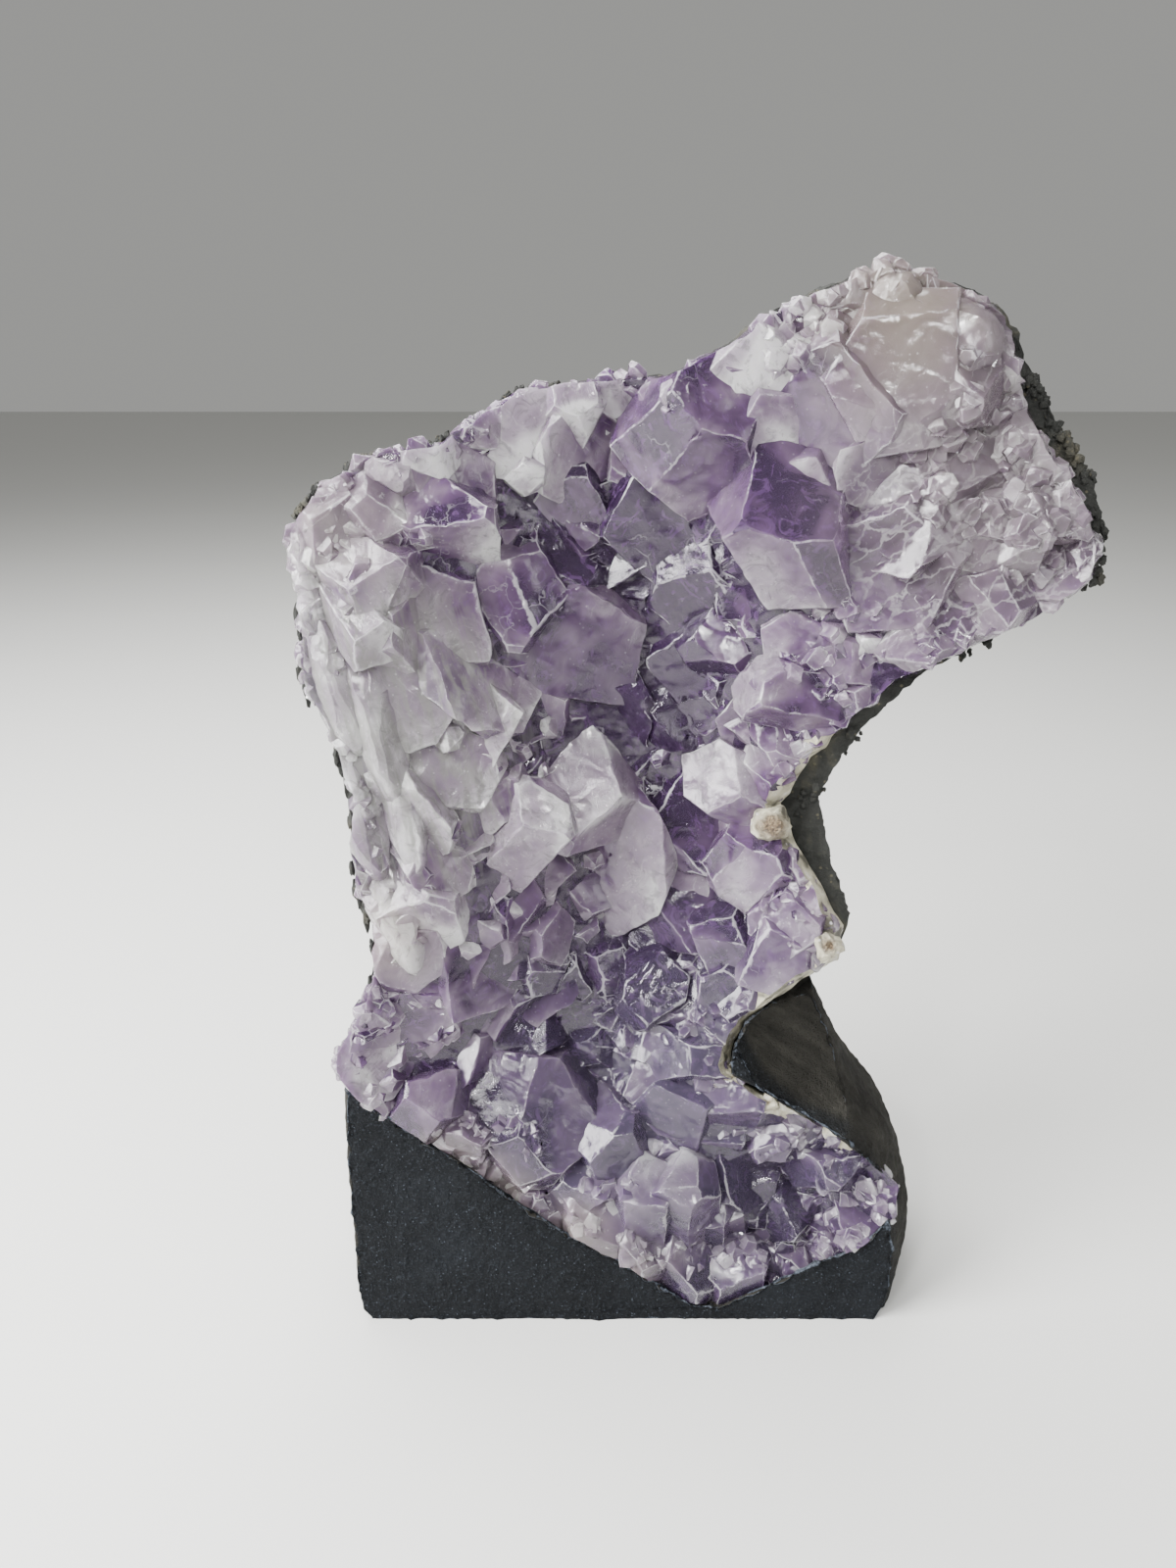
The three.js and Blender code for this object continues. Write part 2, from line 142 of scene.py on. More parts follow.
# Large crystals: root x, root z, tip x, tip z, rise over the bed, radius, and tint from pale to deep
CRYSTALS = [
    # Top rim, towards the middle
    (-52, 256, -47, 250, 12, 6, 0.12),
    (-45, 259, -42, 252, 13, 7, 0.15),
    (-35, 266, -31, 251, 15, 12, 0.08),
    (-23, 270, -22, 259, 12, 6, 0.1),
    (-15, 272, -12, 257, 14, 7, 0),
    (-4, 271, -4, 262, 12, 7, 0.06),
    (-24, 257, -27, 246, 13, 5, 0.1),
    (-6, 262, -14, 242, 17, 11, 0.12),
    (-47, 250, -37, 242, 14, 8, 0.2),
    (-25, 250, -22, 240, 12, 6, 0.3),
    (-62, 243, -51, 240, 13, 8, 0.15),
    (-50, 244, -44, 235, 13, 8, 0.15),
    # Upper left wall
    (-84, 235, -76, 231, 9, 6, 0.1),
    (-76, 240, -68, 233, 11, 7, 0.2),
    (-66, 238, -58, 232, 11, 7, 0.25),
    (-69, 228, -56, 219, 14, 8, 0.24),
    (-74, 222, -63, 204, 14, 7, 0.08),
    (-61, 216, -53, 203, 12, 7, 0.2),
    (-47, 237, -34, 228, 15, 9, 0.25),
    (-45, 226, -31, 217, 15, 8, 0.33),
    (-29, 240, -26, 222, 14, 9, 0.65),
    (-13, 238, -13, 219, 16, 12, 0.8),
    (-50, 218, -37, 207, 15, 9, 0.28),
    (-38, 216, -28, 203, 14, 8, 0.5),
    (-44, 203, -26, 190, 18, 10, 0.33),
    (-58, 198, -49, 184, 14, 8, 0.1),
    # Beside the long pale columns of the left wall
    (-60, 168, -52, 149, 14, 8, 0.08),
    (-55, 152, -47, 138, 14, 7, 0.1),
    (-69, 134, -60, 117, 11, 8, 0),
    (-58, 136, -48, 124, 13, 8, 0.08),
    # Broken ridge beside the hollow
    (-47, 192, -35, 177, 17, 9, 0.14),
    (-48, 176, -40, 165, 15, 8, 0.1),
    (-50, 164, -44, 151, 14, 7, 0.2),
    (-30, 180, -31, 170, 10, 5, 0.7),
    (-30, 158, -18, 171, 16, 9, 0.15),
    (-17, 174, -13, 188, 11, 12, 0.2),
    (-42, 163, -34, 152, 13, 8, 0.22),
    (-33, 157, -24, 150, 11, 6, 0.45),
    (-46, 148, -34, 140, 13, 8, 0.3),
    (-30, 148, -20, 137, 13, 7, 0.2),
    # The deep hollow
    (18, 260, 11, 242, 17, 13, 0.4),
    (14, 242, 14, 222, 15, 13, 0.87),
    (-2, 234, 5, 221, 12, 5, 1.07),
    (-17, 208, 4, 209, 18, 12, 0.4),
    (-21, 222, -17, 211, 12, 8, 0.82),
    (-2, 247, -8, 235, 12, 6, 0.72),
    (20, 206, 14, 194, 13, 8, 1.2),
    (16, 223, 17, 211, 11, 8, 0.87),
    (1, 199, -4, 190, 11, 8, 1.07),
    (-2, 190, 3, 180, 12, 8, 1.02),
    (12, 192, 18, 182, 11, 6, 0.97),
    (2, 178, 7, 167, 13, 6, 0.97),
    (-4, 172, 1, 160, 12, 6, 0.92),
    (-13, 172, -9, 160, 11, 7, 0.97),
    (22, 163, 27, 149, 15, 10, 0.62),
    (11, 161, 15, 151, 12, 6, 0.62),
    (-10, 149, 3, 128, 20, 16, 0.24),
    (-24, 140, -12, 126, 15, 9, 0.24),
    # Middle of the upper face
    (40, 237, 36, 217, 17, 13, 0.4),
    (44, 250, 40, 242, 14, 7, 0.33),
    (50, 247, 48, 239, 16, 4.5, 0.8),
    (38, 258, 36, 250, 11, 5, 0.4),
    (18, 263, 14, 255, 11, 5, 0.3),
    (33, 266, 38, 254, 13, 8, 0.22),
    (6, 262, 8, 249, 14, 8, 0.2),
    (3, 270, 6, 260, 13, 9, 0.25),
    (20, 276, 18, 266, 13, 8, 0.04),
    (29, 277, 30, 266, 13, 8, 0.04),
    (38, 276, 38, 265, 13, 9, 0.05),
    (50, 268, 52, 252, 15, 11, 0.35),
    # Right lobe: beside the dome, the smooth band and the striated fan under it
    (40, 289, 42, 279, 12, 7, 0.11),
    (31, 284, 32, 275, 12, 6, 0.1),
    (62, 272, 60, 258, 15, 12, 0.43),
    (78, 272, 72, 262, 12, 9, 0.48),
    (74, 258, 54, 246, 15, 8, 0.43),
    (80, 250, 58, 238, 14, 8, 0.48),
    (77, 240, 60, 229, 13, 8, 0.43),
    (87, 263, 82, 250, 15, 9, 0.18),
    (96, 266, 92, 256, 12, 8, 0.23),
    (103, 258, 98, 246, 12, 8, 0.23),
    (112, 247, 104, 239, 12, 8, 0.23),
    (117, 236, 110, 229, 11, 8, 0.23),
    (99, 242, 92, 232, 13, 8, 0.23),
    (89, 239, 84, 228, 13, 7, 0.23),
    (108, 227, 100, 223, 11, 7, 0.23),
    (69, 231, 57, 215, 15, 11, 0.33),
    (80, 222, 69, 212, 13, 9, 0.28),
    (93, 220, 85, 213, 12, 8, 0.28),
    (76, 208, 66, 206, 11, 7, 0.23),
    # Slabs of the right wall, pointing up to the left
    (56, 205, 35, 208, 15, 8, 0.27),
    (50, 195, 28, 199, 15, 8, 0.42),
    (42, 180, 24, 189, 14, 7, 0.37),
    (36, 167, 15, 178, 14, 8, 0.32),
    (44, 171, 32, 179, 12, 6, 0.32),
    (55, 191, 46, 186, 10, 7, 0.2),
    (36, 158, 30, 165, 11, 6, 0.32),
    # Right shoulder over the notch
    (14, 149, 20, 138, 13, 7, 0.49),
    (36, 149, 32, 137, 13, 9, 0.34),
    (50, 146, 45, 136, 12, 7, 0.29),
    (59, 132, 54, 122, 11, 8, 0.24),
    (46, 132, 44, 121, 12, 7, 0.34),
    (18, 136, 20, 124, 14, 8, 0.6),
    (28, 128, 23, 117, 14, 8, 0.63),
    (42, 122, 35, 112, 12, 8, 0.39),
    (7, 119, 8, 103, 19, 8, 1.05),
    (8, 131, 6, 122, 12, 5, 0.95),
    (-9, 118, -10, 103, 15, 7, 0.95),
    (-17, 98, -14, 86, 14, 7, 1),
    (31, 109, 22, 101, 12, 7, 0.54),
    (9, 103, -4, 95, 12, 8, 0.64),
    # Lower left
    (-27, 127, -24, 99, 18, 10, 0.7),
    (-44, 128, -34, 101, 19, 9, 0.45),
    (-54, 126, -46, 106, 16, 8, 0.4),
    (-64, 127, -55, 113, 13, 8, 0.32),
    (-24, 130, -16, 120, 13, 6, 0.25),
    (-30, 98, -38, 93, 10, 7, 1.01),
    (-84, 87, -67, 87, 13, 9, 0.25),
    (-79, 97, -64, 94, 11, 7, 0.28),
    (-73, 110, -63, 103, 11, 7, 0.35),
    (-66, 105, -51, 94, 14, 8, 0.4),
    (-63, 91, -61, 80, 8, 6, 0.81),
    (-61, 70, -51, 84, 14, 9, 0.6),
    (-44, 80, -42, 89, 11, 8, 0.81),
    (-46, 62, -43, 76, 14, 8, 0.55),
    (-38, 58, -39, 69, 14, 4.5, 0.25),
    (-33, 57, -34, 66, 13, 4, 0.3),
    (-55, 60, -51, 68, 11, 5, 0.3),
    (-30, 75, -13, 64, 20, 13, 0.5),
    (-37, 83, -30, 73, 13, 7, 0.86),
    (-72, 76, -64, 76, 10, 6, 0.35),
    # Lower middle
    (30, 80, 0, 84, 15, 9, 0.53),
    (28, 90, 4, 91, 13, 7, 0.58),
    (28, 71, 2, 75, 14, 7, 0.48),
    (-2, 63, -8, 78, 13, 9, 0.63),
    (-15, 50, -4, 58, 12, 8, 0.63),
    (20, 70, 26, 58, 12, 9, 0.68),
    (6, 38, 7, 56, 14, 8, 0.43),
    (17, 36, 18, 54, 15, 8.5, 0.41),
    (27, 30, 27, 44, 13, 6, 0.48),
    (33, 31, 32, 43, 14, 4, 0.33),
    (-9, 34, -6, 48, 12, 8, 0.48),
    (6, 21, 7, 36, 12, 8, 0.38),
    (20, 17, 20, 32, 12, 8, 0.43),
    # Lower right, round the small hollow
    (45, 65, 42, 64, 13, 6, 0.34),
    (61, 63, 54, 56, 11, 8, 0.57),
    (46, 40, 45, 46, 14, 8, 1.09),
    (50, 18, 51, 27, 13, 7, 0.4),
    (33, 16, 34, 29, 13, 8, 0.44),
    (77, 48, 67, 50, 12, 8, 0.52),
    (76, 36, 66, 40, 13, 8, 0.44),
    (64, 24, 58, 30, 11, 6, 0.62),
]

# Rounded, worn lumps and columns: from x, z to x, z, half width, rise over the bed, and tint
LUMPS = [
    # The dome of the right lobe, with the round lump on top of it
    (62, 291, 64, 292, 7, 13, 0.2),
    (58, 280, 78, 281, 13, 16, 0.24),
    (86, 279, 91, 276, 8, 12, 0.16),
    (46, 281, 49, 283, 8, 12, 0.12),
    # The worn top left corner
    (-80, 242, -76, 239, 6, 11, 0.12),
    (-73, 249, -69, 245, 6, 12, 0.1),
    (-62, 252, -58, 250, 6.5, 12, 0.1),
    (-77, 231, -71, 229, 6, 12, 0.15),
    (-66, 241, -62, 238, 6.5, 13, 0.2),
    # Columns that sweep down the left wall
    (-81, 221, -73, 184, 6.5, 12, 0.14),
    (-72, 214, -63, 172, 7.5, 13, 0.2),
    (-78, 188, -69, 150, 7, 12, 0.12),
    (-64, 188, -58, 150, 6.5, 13, 0.2),
    (-70, 160, -61, 124, 7.5, 12, 0.06),
    (-60, 160, -55, 136, 6, 13, 0.18),
]

# Smaller crystals that close the gaps between those: radius, and how many places are tried for it
GAP_CRYSTALS = [(8, 1500), (6.5, 2500), (5, 4000), (3.8, 4000), (3, 3000)]
# How close two of them may stand, for each mm of both radii
PACKING = 0.55
# How many of six places round the middle of a gap have to be bare
BARE_PLACES = 4

# Patches of small crystals on the face: x, z, half width, half height, how many, radius, tint, the
# way they lean on the face, and how far they may stand out for each mm of radius
PATCHES = [
    (-70, 240, 17, 13, 70, 3.4, 0.08, -0.2, 0.2, 0.3),
    (-82, 215, 5, 32, 26, 2.8, 0.12, -0.4, 0.3, 0.4),
    (-77, 228, 9, 14, 44, 2.6, 0.08, -0.4, 0.2, 0.6),
    (-45, 262, 18, 6, 24, 3.2, 0.15, -0.2, 0.4, 0.4),
    (38, 284, 11, 7, 30, 2.4, 0.02, -0.3, 0.6, 1.8),
    (8, 272, 26, 6, 30, 3, 0.1, 0, 0.5, 0.6),
    (92, 252, 22, 16, 70, 2.7, 0.26, 0.9, 0.5, 1.3),
    (104, 238, 20, 14, 70, 2.8, 0.28, 0.7, 0.1, 1.2),
    (86, 268, 14, 16, 26, 2.6, 0.28, 0.6, 0.7, 1),
    (70, 212, 26, 9, 40, 2.6, 0.3, 0.5, -0.6, 1.2),
    (48, 200, 14, 9, 18, 2.3, 0.25, 0.9, 0.2, 1.2),
    (49, 172, 9, 14, 18, 2.3, 0.2, 0.7, -0.2, 1.2),
    (52, 135, 12, 18, 40, 2.3, 0.18, 0.7, 0.2, 1),
    (-40, 160, 10, 20, 14, 2.3, 0.25, -0.2, 0.4, 0.8),
    (-66, 130, 12, 16, 16, 2.6, 0.12, -0.4, -0.7, 0.6),
    (-66, 100, 18, 12, 40, 2.6, 0.22, -0.9, 0.1, 1),
    (-76, 86, 9, 5, 12, 3.2, 0.15, -0.8, -0.2, 0.6),
    (-47, 55, 6, 5, 16, 1.8, 0, -0.4, -0.8, 1.1),
    (-31, 43, 7, 5, 16, 1.8, 0, -0.4, -0.8, 1.1),
    (-15, 32, 7, 5, 16, 1.8, 0, -0.4, -0.8, 1.1),
    (3, 21, 7, 5, 16, 1.8, 0, -0.4, -0.8, 1.1),
    (-38, 60, 16, 9, 40, 2.2, 0.15, -0.4, -0.6, 0.9),
    (-12, 42, 18, 10, 40, 2.3, 0.18, -0.3, -0.6, 0.9),
    (14, 24, 18, 9, 36, 2.3, 0.18, -0.1, -0.7, 1),
    (40, 22, 20, 8, 36, 2.3, 0.18, 0.2, -0.7, 1),
    (66, 36, 14, 12, 40, 2.5, 0.18, 0.7, -0.2, 1.2),
    (48, 62, 12, 8, 26, 2.3, 0.15, 0.2, 0.5, 1.2),
    (60, 62, 18, 6, 30, 2, 0.18, 0.4, 0.7, 1),
    (24, 96, 12, 9, 16, 2, 0.3, 0.9, -0.1, 1.2),
]

# Grains on the rim: how many places up the stone have them, how far in from the edge they stand, and
# the height over which they lean up, and under which they lean down
RIM_PLACES = 90
RIM_INSETS = (1.4, 3.6)
RIM_MIDDLE = 120
# Small crystals up to this radius have no chipped edges
LEAST_CHIPPED = 1.8

# Crumbs of rind on the rim: from and to which place up the stone, side, how many, how far in, and the
# most that they are drawn out in height
CRUMBS = [
    (0.32, 0.64, 0, 70, 1, 5),
    (0.68, 0.86, 0, 130, 0.6, 1.5),
    (0.46, 0.6, 1, 50, 1.4, 1.5),
    (0.64, 0.7, 1, 50, 1.4, 1.3),
    (0.7, 0.84, 1, 260, 1.4, 1.3),
]

# The right rim from the small hollow up to the bay is worn down to cream agate: from z, to z, the
# height of its edge, and its rise for each face of the bed across the stone
AGATE = (54, 180)
AGATE_HEIGHT = 3.5
AGATE_RISE = 11

# Cream nodules on that rim, with brown middles: x, z, radius, and the share that is brown
NODULES = [(39.5, 158.5, 5.6, 0.8), (57, 124, 4, 0.6), (42, 75, 3, 0.3), (31.5, 83, 3, 0.2)]

# What a face of the crust belongs to: the bed, a nodule, or else the crystal of that number
BED = -1
NODULE = -2

# Longest edges of the faces of the rind and of the foot
RIND_EDGE = 2.4
FOOT_EDGE = 2.6
# Two faces that meet at more than this many degrees have a crease between them
CRYSTAL_CREASE = 24
RIND_CREASE = 40
FOOT_CREASE = 50
# What is lower than this on the foot stays flat on the ground
ON_GROUND = 0.2

# Stains of the quartz by iron or by grey milk, a dark cool colour over the lower part that is painted
# shade, and dark violet in the hollows that is partly the quartz's deep colour and partly painted shade:
# middle and reach in metres, as every size of a finish or a light is, and then share and colour
STAINS = [
    ((0.066, -0.022, 0.292), 0.038, 0.9, (0.31, 0.265, 0.215)),
    ((-0.074, -0.03, 0.244), 0.032, 0.55, (0.46, 0.41, 0.37)),
    ((-0.07, -0.036, 0.128), 0.024, 0.5, (0.5, 0.44, 0.36)),
    ((0.092, -0.02, 0.25), 0.06, 0.66, (0.24, 0.205, 0.21)),
    ((-0.072, -0.03, 0.185), 0.05, 0.4, (0.42, 0.42, 0.4)),
    # Painted shade: a darker, cooler colour over the lower part of the face
    ((0.02, -0.045, 0.06), 0.1, 0.4, (0.15, 0.14, 0.2)),
    # Dark violet in the three hollows: partly the deep colour of the quartz and partly painted shade
    ((0.006, 0.006, 0.19), 0.038, 0.75, (0.055, 0.03, 0.075)),
    ((-0.008, -0.008, 0.104), 0.026, 0.5, (0.065, 0.036, 0.09)),
    ((0.046, -0.022, 0.042), 0.018, 0.6, (0.055, 0.032, 0.075)),
    ((-0.05, -0.041, 0.055), 0.018, 0.6, (0.56, 0.48, 0.42)),
    ((-0.034, -0.042, 0.042), 0.018, 0.6, (0.56, 0.48, 0.42)),
    ((-0.017, -0.043, 0.029), 0.018, 0.6, (0.56, 0.48, 0.42)),
    ((0.003, -0.044, 0.018), 0.018, 0.6, (0.56, 0.48, 0.42)),
]
# Middles of the right lobe, with its net of bright lines, and of the left wall, with its grey streaks
LOBE = (0.092, -0.02, 0.24)
LEFT_WALL = (-0.072, -0.03, 0.18)
STREAK_GREY = (0.29, 0.285, 0.265)
# Smoke in pale quartz, light inside dark quartz, and painted glints, bright specks, in both
SMOKE_GREY = (0.13, 0.115, 0.135)
INNER_VIOLET = (0.2, 0.1, 0.27)
GLINT_WHITE = (0.85, 0.84, 0.86)

# Soft lights: name, place, width and height, and the setting that holds the power
LAMPS = [
    ("window", (-0.8, -0.35, 0.6), (0.6, 0.9), "window_power"),
    ("front", (-0.35, -0.95, 0.85), (0.5, 0.35), "front_power"),
    ("fill", (0.75, -0.6, 0.55), (0.4, 0.5), "fill_power"),
    ("back", (-0.2, 0.35, 0.95), (0.8, 0.5), "back_power"),
    ("glint", (-0.45, -0.8, 0.95), (0.11, 0.11), "glint_power"),
    ("glow", (0.15, -0.85, 0.7), (0.11, 0.11), "glint_power"),
]
LIT_PLACE = (0.0, -0.02, 0.16)
FLOOR_HALF_WIDTH = 4


class GeodeCrystals(PropertyGroup):
    """Sizes and colours of the crystal crust"""

    pale: FloatVectorProperty(
        name="Pale quartz",
        description="Colour of the milky crystals on the rims",
        subtype="COLOR",
        default=(0.765, 0.75, 0.76),
        min=0,
        max=1,
    )
    deep: FloatVectorProperty(
        name="Deep amethyst",
        description="Colour of the darkest crystals in the hollows",
        subtype="COLOR",
        default=(0.05, 0.027, 0.068),
        min=0,
        max=1,
    )
    # On the edges of the crystals this colour is partly a painted highlight
    chip: FloatVectorProperty(
        name="Chipped edge",
        description="Colour of broken edges and grains",
        subtype="COLOR",
        default=(0.7, 0.68, 0.71),
        min=0,
        max=1,
    )
    agate: FloatVectorProperty(
        name="Agate",
        description="Colour of the rim of agate",
        subtype="COLOR",
        default=(0.6, 0.56, 0.42),
        min=0,
        max=1,
    )
    chip_width: FloatProperty(
        name="Edge width",
        description="Width of the chipped edges of a large crystal",
        default=0.24 * MM,
        min=0.1 * MM,
        max=2 * MM,
        unit="LENGTH",
    )
    longest_edge: FloatProperty(
        name="Longest edge",
        description="Faces with longer edges are split before they are roughened",
        default=2.6 * MM,
        min=1 * MM,
        max=20 * MM,
        unit="LENGTH",
    )
    seed: IntProperty(
        name="Seed",
        description="Another number places the small crystals another way",
        default=17,
        min=0,
    )


class GeodeRind(PropertyGroup):
    """Sizes and colours of the basalt rind"""

    rock: FloatVectorProperty(
        name="Basalt",
        description="Colour of the broken rock",
        subtype="COLOR",
        default=(0.03, 0.031, 0.028),
        min=0,
        max=1,
    )
    crumbs: FloatVectorProperty(
        name="Crumbs",
        description="Colour of the weathered crumbs on the rock",
        subtype="COLOR",
        default=(0.17, 0.15, 0.095),
        min=0,
        max=1,
    )
    relief: FloatProperty(
        name="Relief",
        description="Height of the lumps of the broken rock",
        default=1.6 * MM,
        min=0,
        max=6 * MM,
        unit="LENGTH",
    )
    seed: IntProperty(
        name="Seed",
        description="Another number scatters the crumbs another way",
        default=7,
        min=0,
    )


class GeodeFoot(PropertyGroup):
    """Sizes and colours of the cast foot"""

    coat: FloatVectorProperty(
        name="Coat",
        description="Colour of the sandy coat on the front of the foot",
        subtype="COLOR",
        default=(0.0063, 0.0074, 0.0092),
        min=0,
        max=1,
    )
    flank: FloatVectorProperty(
        name="Flank",
        description="Colour of the smooth flank and the back",
        subtype="COLOR",
        default=(0.029, 0.0275, 0.0235),
        min=0,
        max=1,
    )
    edge: FloatProperty(
        name="Edge",
        description="Width of the worn edges",
        default=1.4 * MM,
        min=0.2 * MM,
        max=5 * MM,
        unit="LENGTH",
    )


class GeodeStage(PropertyGroup):
    """The light and the floor"""

    floor: FloatVectorProperty(
        name="Floor",
        description="Colour of the floor and of the surroundings",
        subtype="COLOR",
        default=(0.62, 0.62, 0.6),
        min=0,
        max=1,
    )
    window_power: FloatProperty(
        name="Window",
        description="Power of the large soft light at the left",
        default=47.0,
        min=0,
        unit="POWER",
    )
    front_power: FloatProperty(
        name="Front",
        description="Power of the light over the camera, which glints on the facets",
        default=6.0,
        min=0,
        unit="POWER",
    )
    fill_power: FloatProperty(
        name="Fill",
        description="Power of the fill light at the right",
        default=2.5,
        min=0,
        unit="POWER",
    )
    glint_power: FloatProperty(
        name="Glint",
        description="Power of each of the two small lamps that sparkle on the facets",
        default=5.0,
        min=0,
        unit="POWER",
    )
    back_power: FloatProperty(
        name="Back",
        description="Power of the light behind the stone, which shines through its upper edge",
        default=16.0,
        min=0,
        unit="POWER",
    )
    surroundings: FloatProperty(
        name="Surroundings",
        description="Strength of the light from all round",
        default=0.56,
        min=0,
    )


def behind_face(x, z, depth):
    """A point as seen at x, z on the face, pushed back along its sight line."""
    on_face = Vector((x, FACE_FRONT + FACE_LEAN * z, z))
    sight = on_face - VIEWPOINT
    return on_face + sight * (depth / (sight.y - FACE_LEAN * sight.z))


def seen_at(point):
    """The x and z on the face where a point is seen from the viewpoint."""
    sight = point - VIEWPOINT
    share = (FACE_FRONT + FACE_LEAN * VIEWPOINT.z - VIEWPOINT.y) / (sight.y - FACE_LEAN * sight.z)
    on_face = VIEWPOINT + sight * share
    return on_face.x, on_face.z


def bed_depth(x, z):
    """How far the bed of the crust lies behind the face."""
    depth = RIM_DEPTH
    for x0, z0, x1, z1, width, extra in HOLLOWS:
        dx, dz = x1 - x0, z1 - z0
        along = min(max(((x - x0) * dx + (z - z0) * dz) / (dx * dx + dz * dz), 0), 1)
        distance = math.hypot(x - x0 - along * dx, z - z0 - along * dz)
        depth += extra * math.exp(-((distance / width) ** 2))
    return depth


def row_at(place):
    """The outline's row at a place from 0 to 1 up the stone."""
    at = min(max(place, 0), 1) * (len(ROWS) - 1)
    low = min(int(at), len(ROWS) - 2)
    return [a + (b - a) * (at - low) for a, b in zip(ROWS[low], ROWS[low + 1])]


def across_row(row, share, left_inset, right_inset):
    """The place on the face at a share of the way across a row, inset from both edges."""
    left, right = Vector((row[0], row[1])), Vector((row[2], row[3]))
    length = (right - left).length
    start = min(left_inset, 0.45 * length)
    end = length - min(right_inset, 0.45 * length)
    return left + (right - left) * ((start + (end - start) * share) / length)


def left_rind(place):
    """Width of bare rind at the left. There is none where the foot's lip holds the crust."""
    return LEFT_RIND if place > FOOT_PLACE else 0


def on_bed(place, share, depth, margin):
    """A point of the bed at a place up the stone and a share across the crust."""
    row = row_at(place)
    at = across_row(row, share, left_rind(place) - margin, left_rind(place) + row[4] - margin)
    return behind_face(at.x, at.y, bed_depth(at.x, at.y) + depth)


def new_object(name, bm):
    mesh = bpy.data.meshes.new(name)
    bm.to_mesh(mesh)
    bm.free()
    # Normals read in with the frame's mesh would hide the new relief.
    old_normals = mesh.attributes.get("custom_normal")
    if old_normals:
        mesh.attributes.remove(old_normals)
    made = bpy.data.objects.new(name, mesh)
    bpy.context.scene.collection.objects.link(made)
    return made


def worn(share, point, ahead):
    """How far ahead of the bed the crust may reach, less where the rim is worn down to agate."""
    low, high = AGATE
    if not low < point.z < high or point.x < 0 or ahead < CRUST_ROOM:
        return ahead
    from_rim = (1 - share) * ACROSS
    return min(ahead, AGATE_HEIGHT + AGATE_RISE * from_rim)


def slab(name, behind, ahead, margin, ragged=0.0):
    """A solid over the bed of the crust between two depths, inside its outline and a margin."""
    bm = bmesh.new()
    source = bm.faces.layers.int.new("source")
    steps = STEPS_PER_ROW * (len(ROWS) - 1)
    bmesh.ops.create_grid(bm, x_segments=ACROSS, y_segments=steps, size=1)
    grown = bmesh.ops.extrude_face_region(bm, geom=list(bm.faces))
    front = {v for v in grown["geom"] if isinstance(v, bmesh.types.BMVert)}
    for vert in bm.verts:
        share, place = (vert.co.x + 1) / 2, (vert.co.y + 1) / 2
        wobble = ragged * noise.noise(Vector((8 * round(share), 70 * place, 0)))
        reach = -worn(share, on_bed(place, share, 0, margin), ahead) if vert in front else behind
        point = on_bed(place, share, reach, margin + wobble)
        if ragged and place > UPPER_RIM:
            point.z += ragged * noise.noise(Vector((0.35 * point.x, 3, 7)))
        vert.co = point
    for face in bm.faces:
        face[source] = BED
    bmesh.ops.recalc_face_normals(bm, faces=list(bm.faces))
    return new_object(name, bm)


def cut_off(bm, point, normal):
    """Takes away what lies beyond a plane and closes the cut."""
    everything = list(bm.verts) + list(bm.edges) + list(bm.faces)
    cut = bmesh.ops.bisect_plane(
        bm, geom=everything, dist=1e-5, plane_co=point, plane_no=normal, clear_outer=True
    )
    edges = [e for e in cut["geom_cut"] if isinstance(e, bmesh.types.BMEdge)]
    if edges:
        bmesh.ops.holes_fill(bm, edges=edges, sides=0)


def bevel_edges(bm, edges, width, segments):
    """Bevels edges of a mesh and gives back the new faces."""
    made = bmesh.ops.bevel(
        bm,
        geom=edges,
        offset=width,
        offset_type="OFFSET",
        affect="EDGES",
        segments=segments,
        profile=0.5,
        material=-1,
        clamp_overlap=True,
    )
    return made["faces"]


def scale_all(bm, factor):
    bmesh.ops.scale(bm, vec=Vector((factor, factor, factor)), verts=list(bm.verts))


def scatter(draw):
    """A step of random length in a random direction."""
    return Vector((draw.gauss(0, 1), draw.gauss(0, 1), draw.gauss(0, 1)))


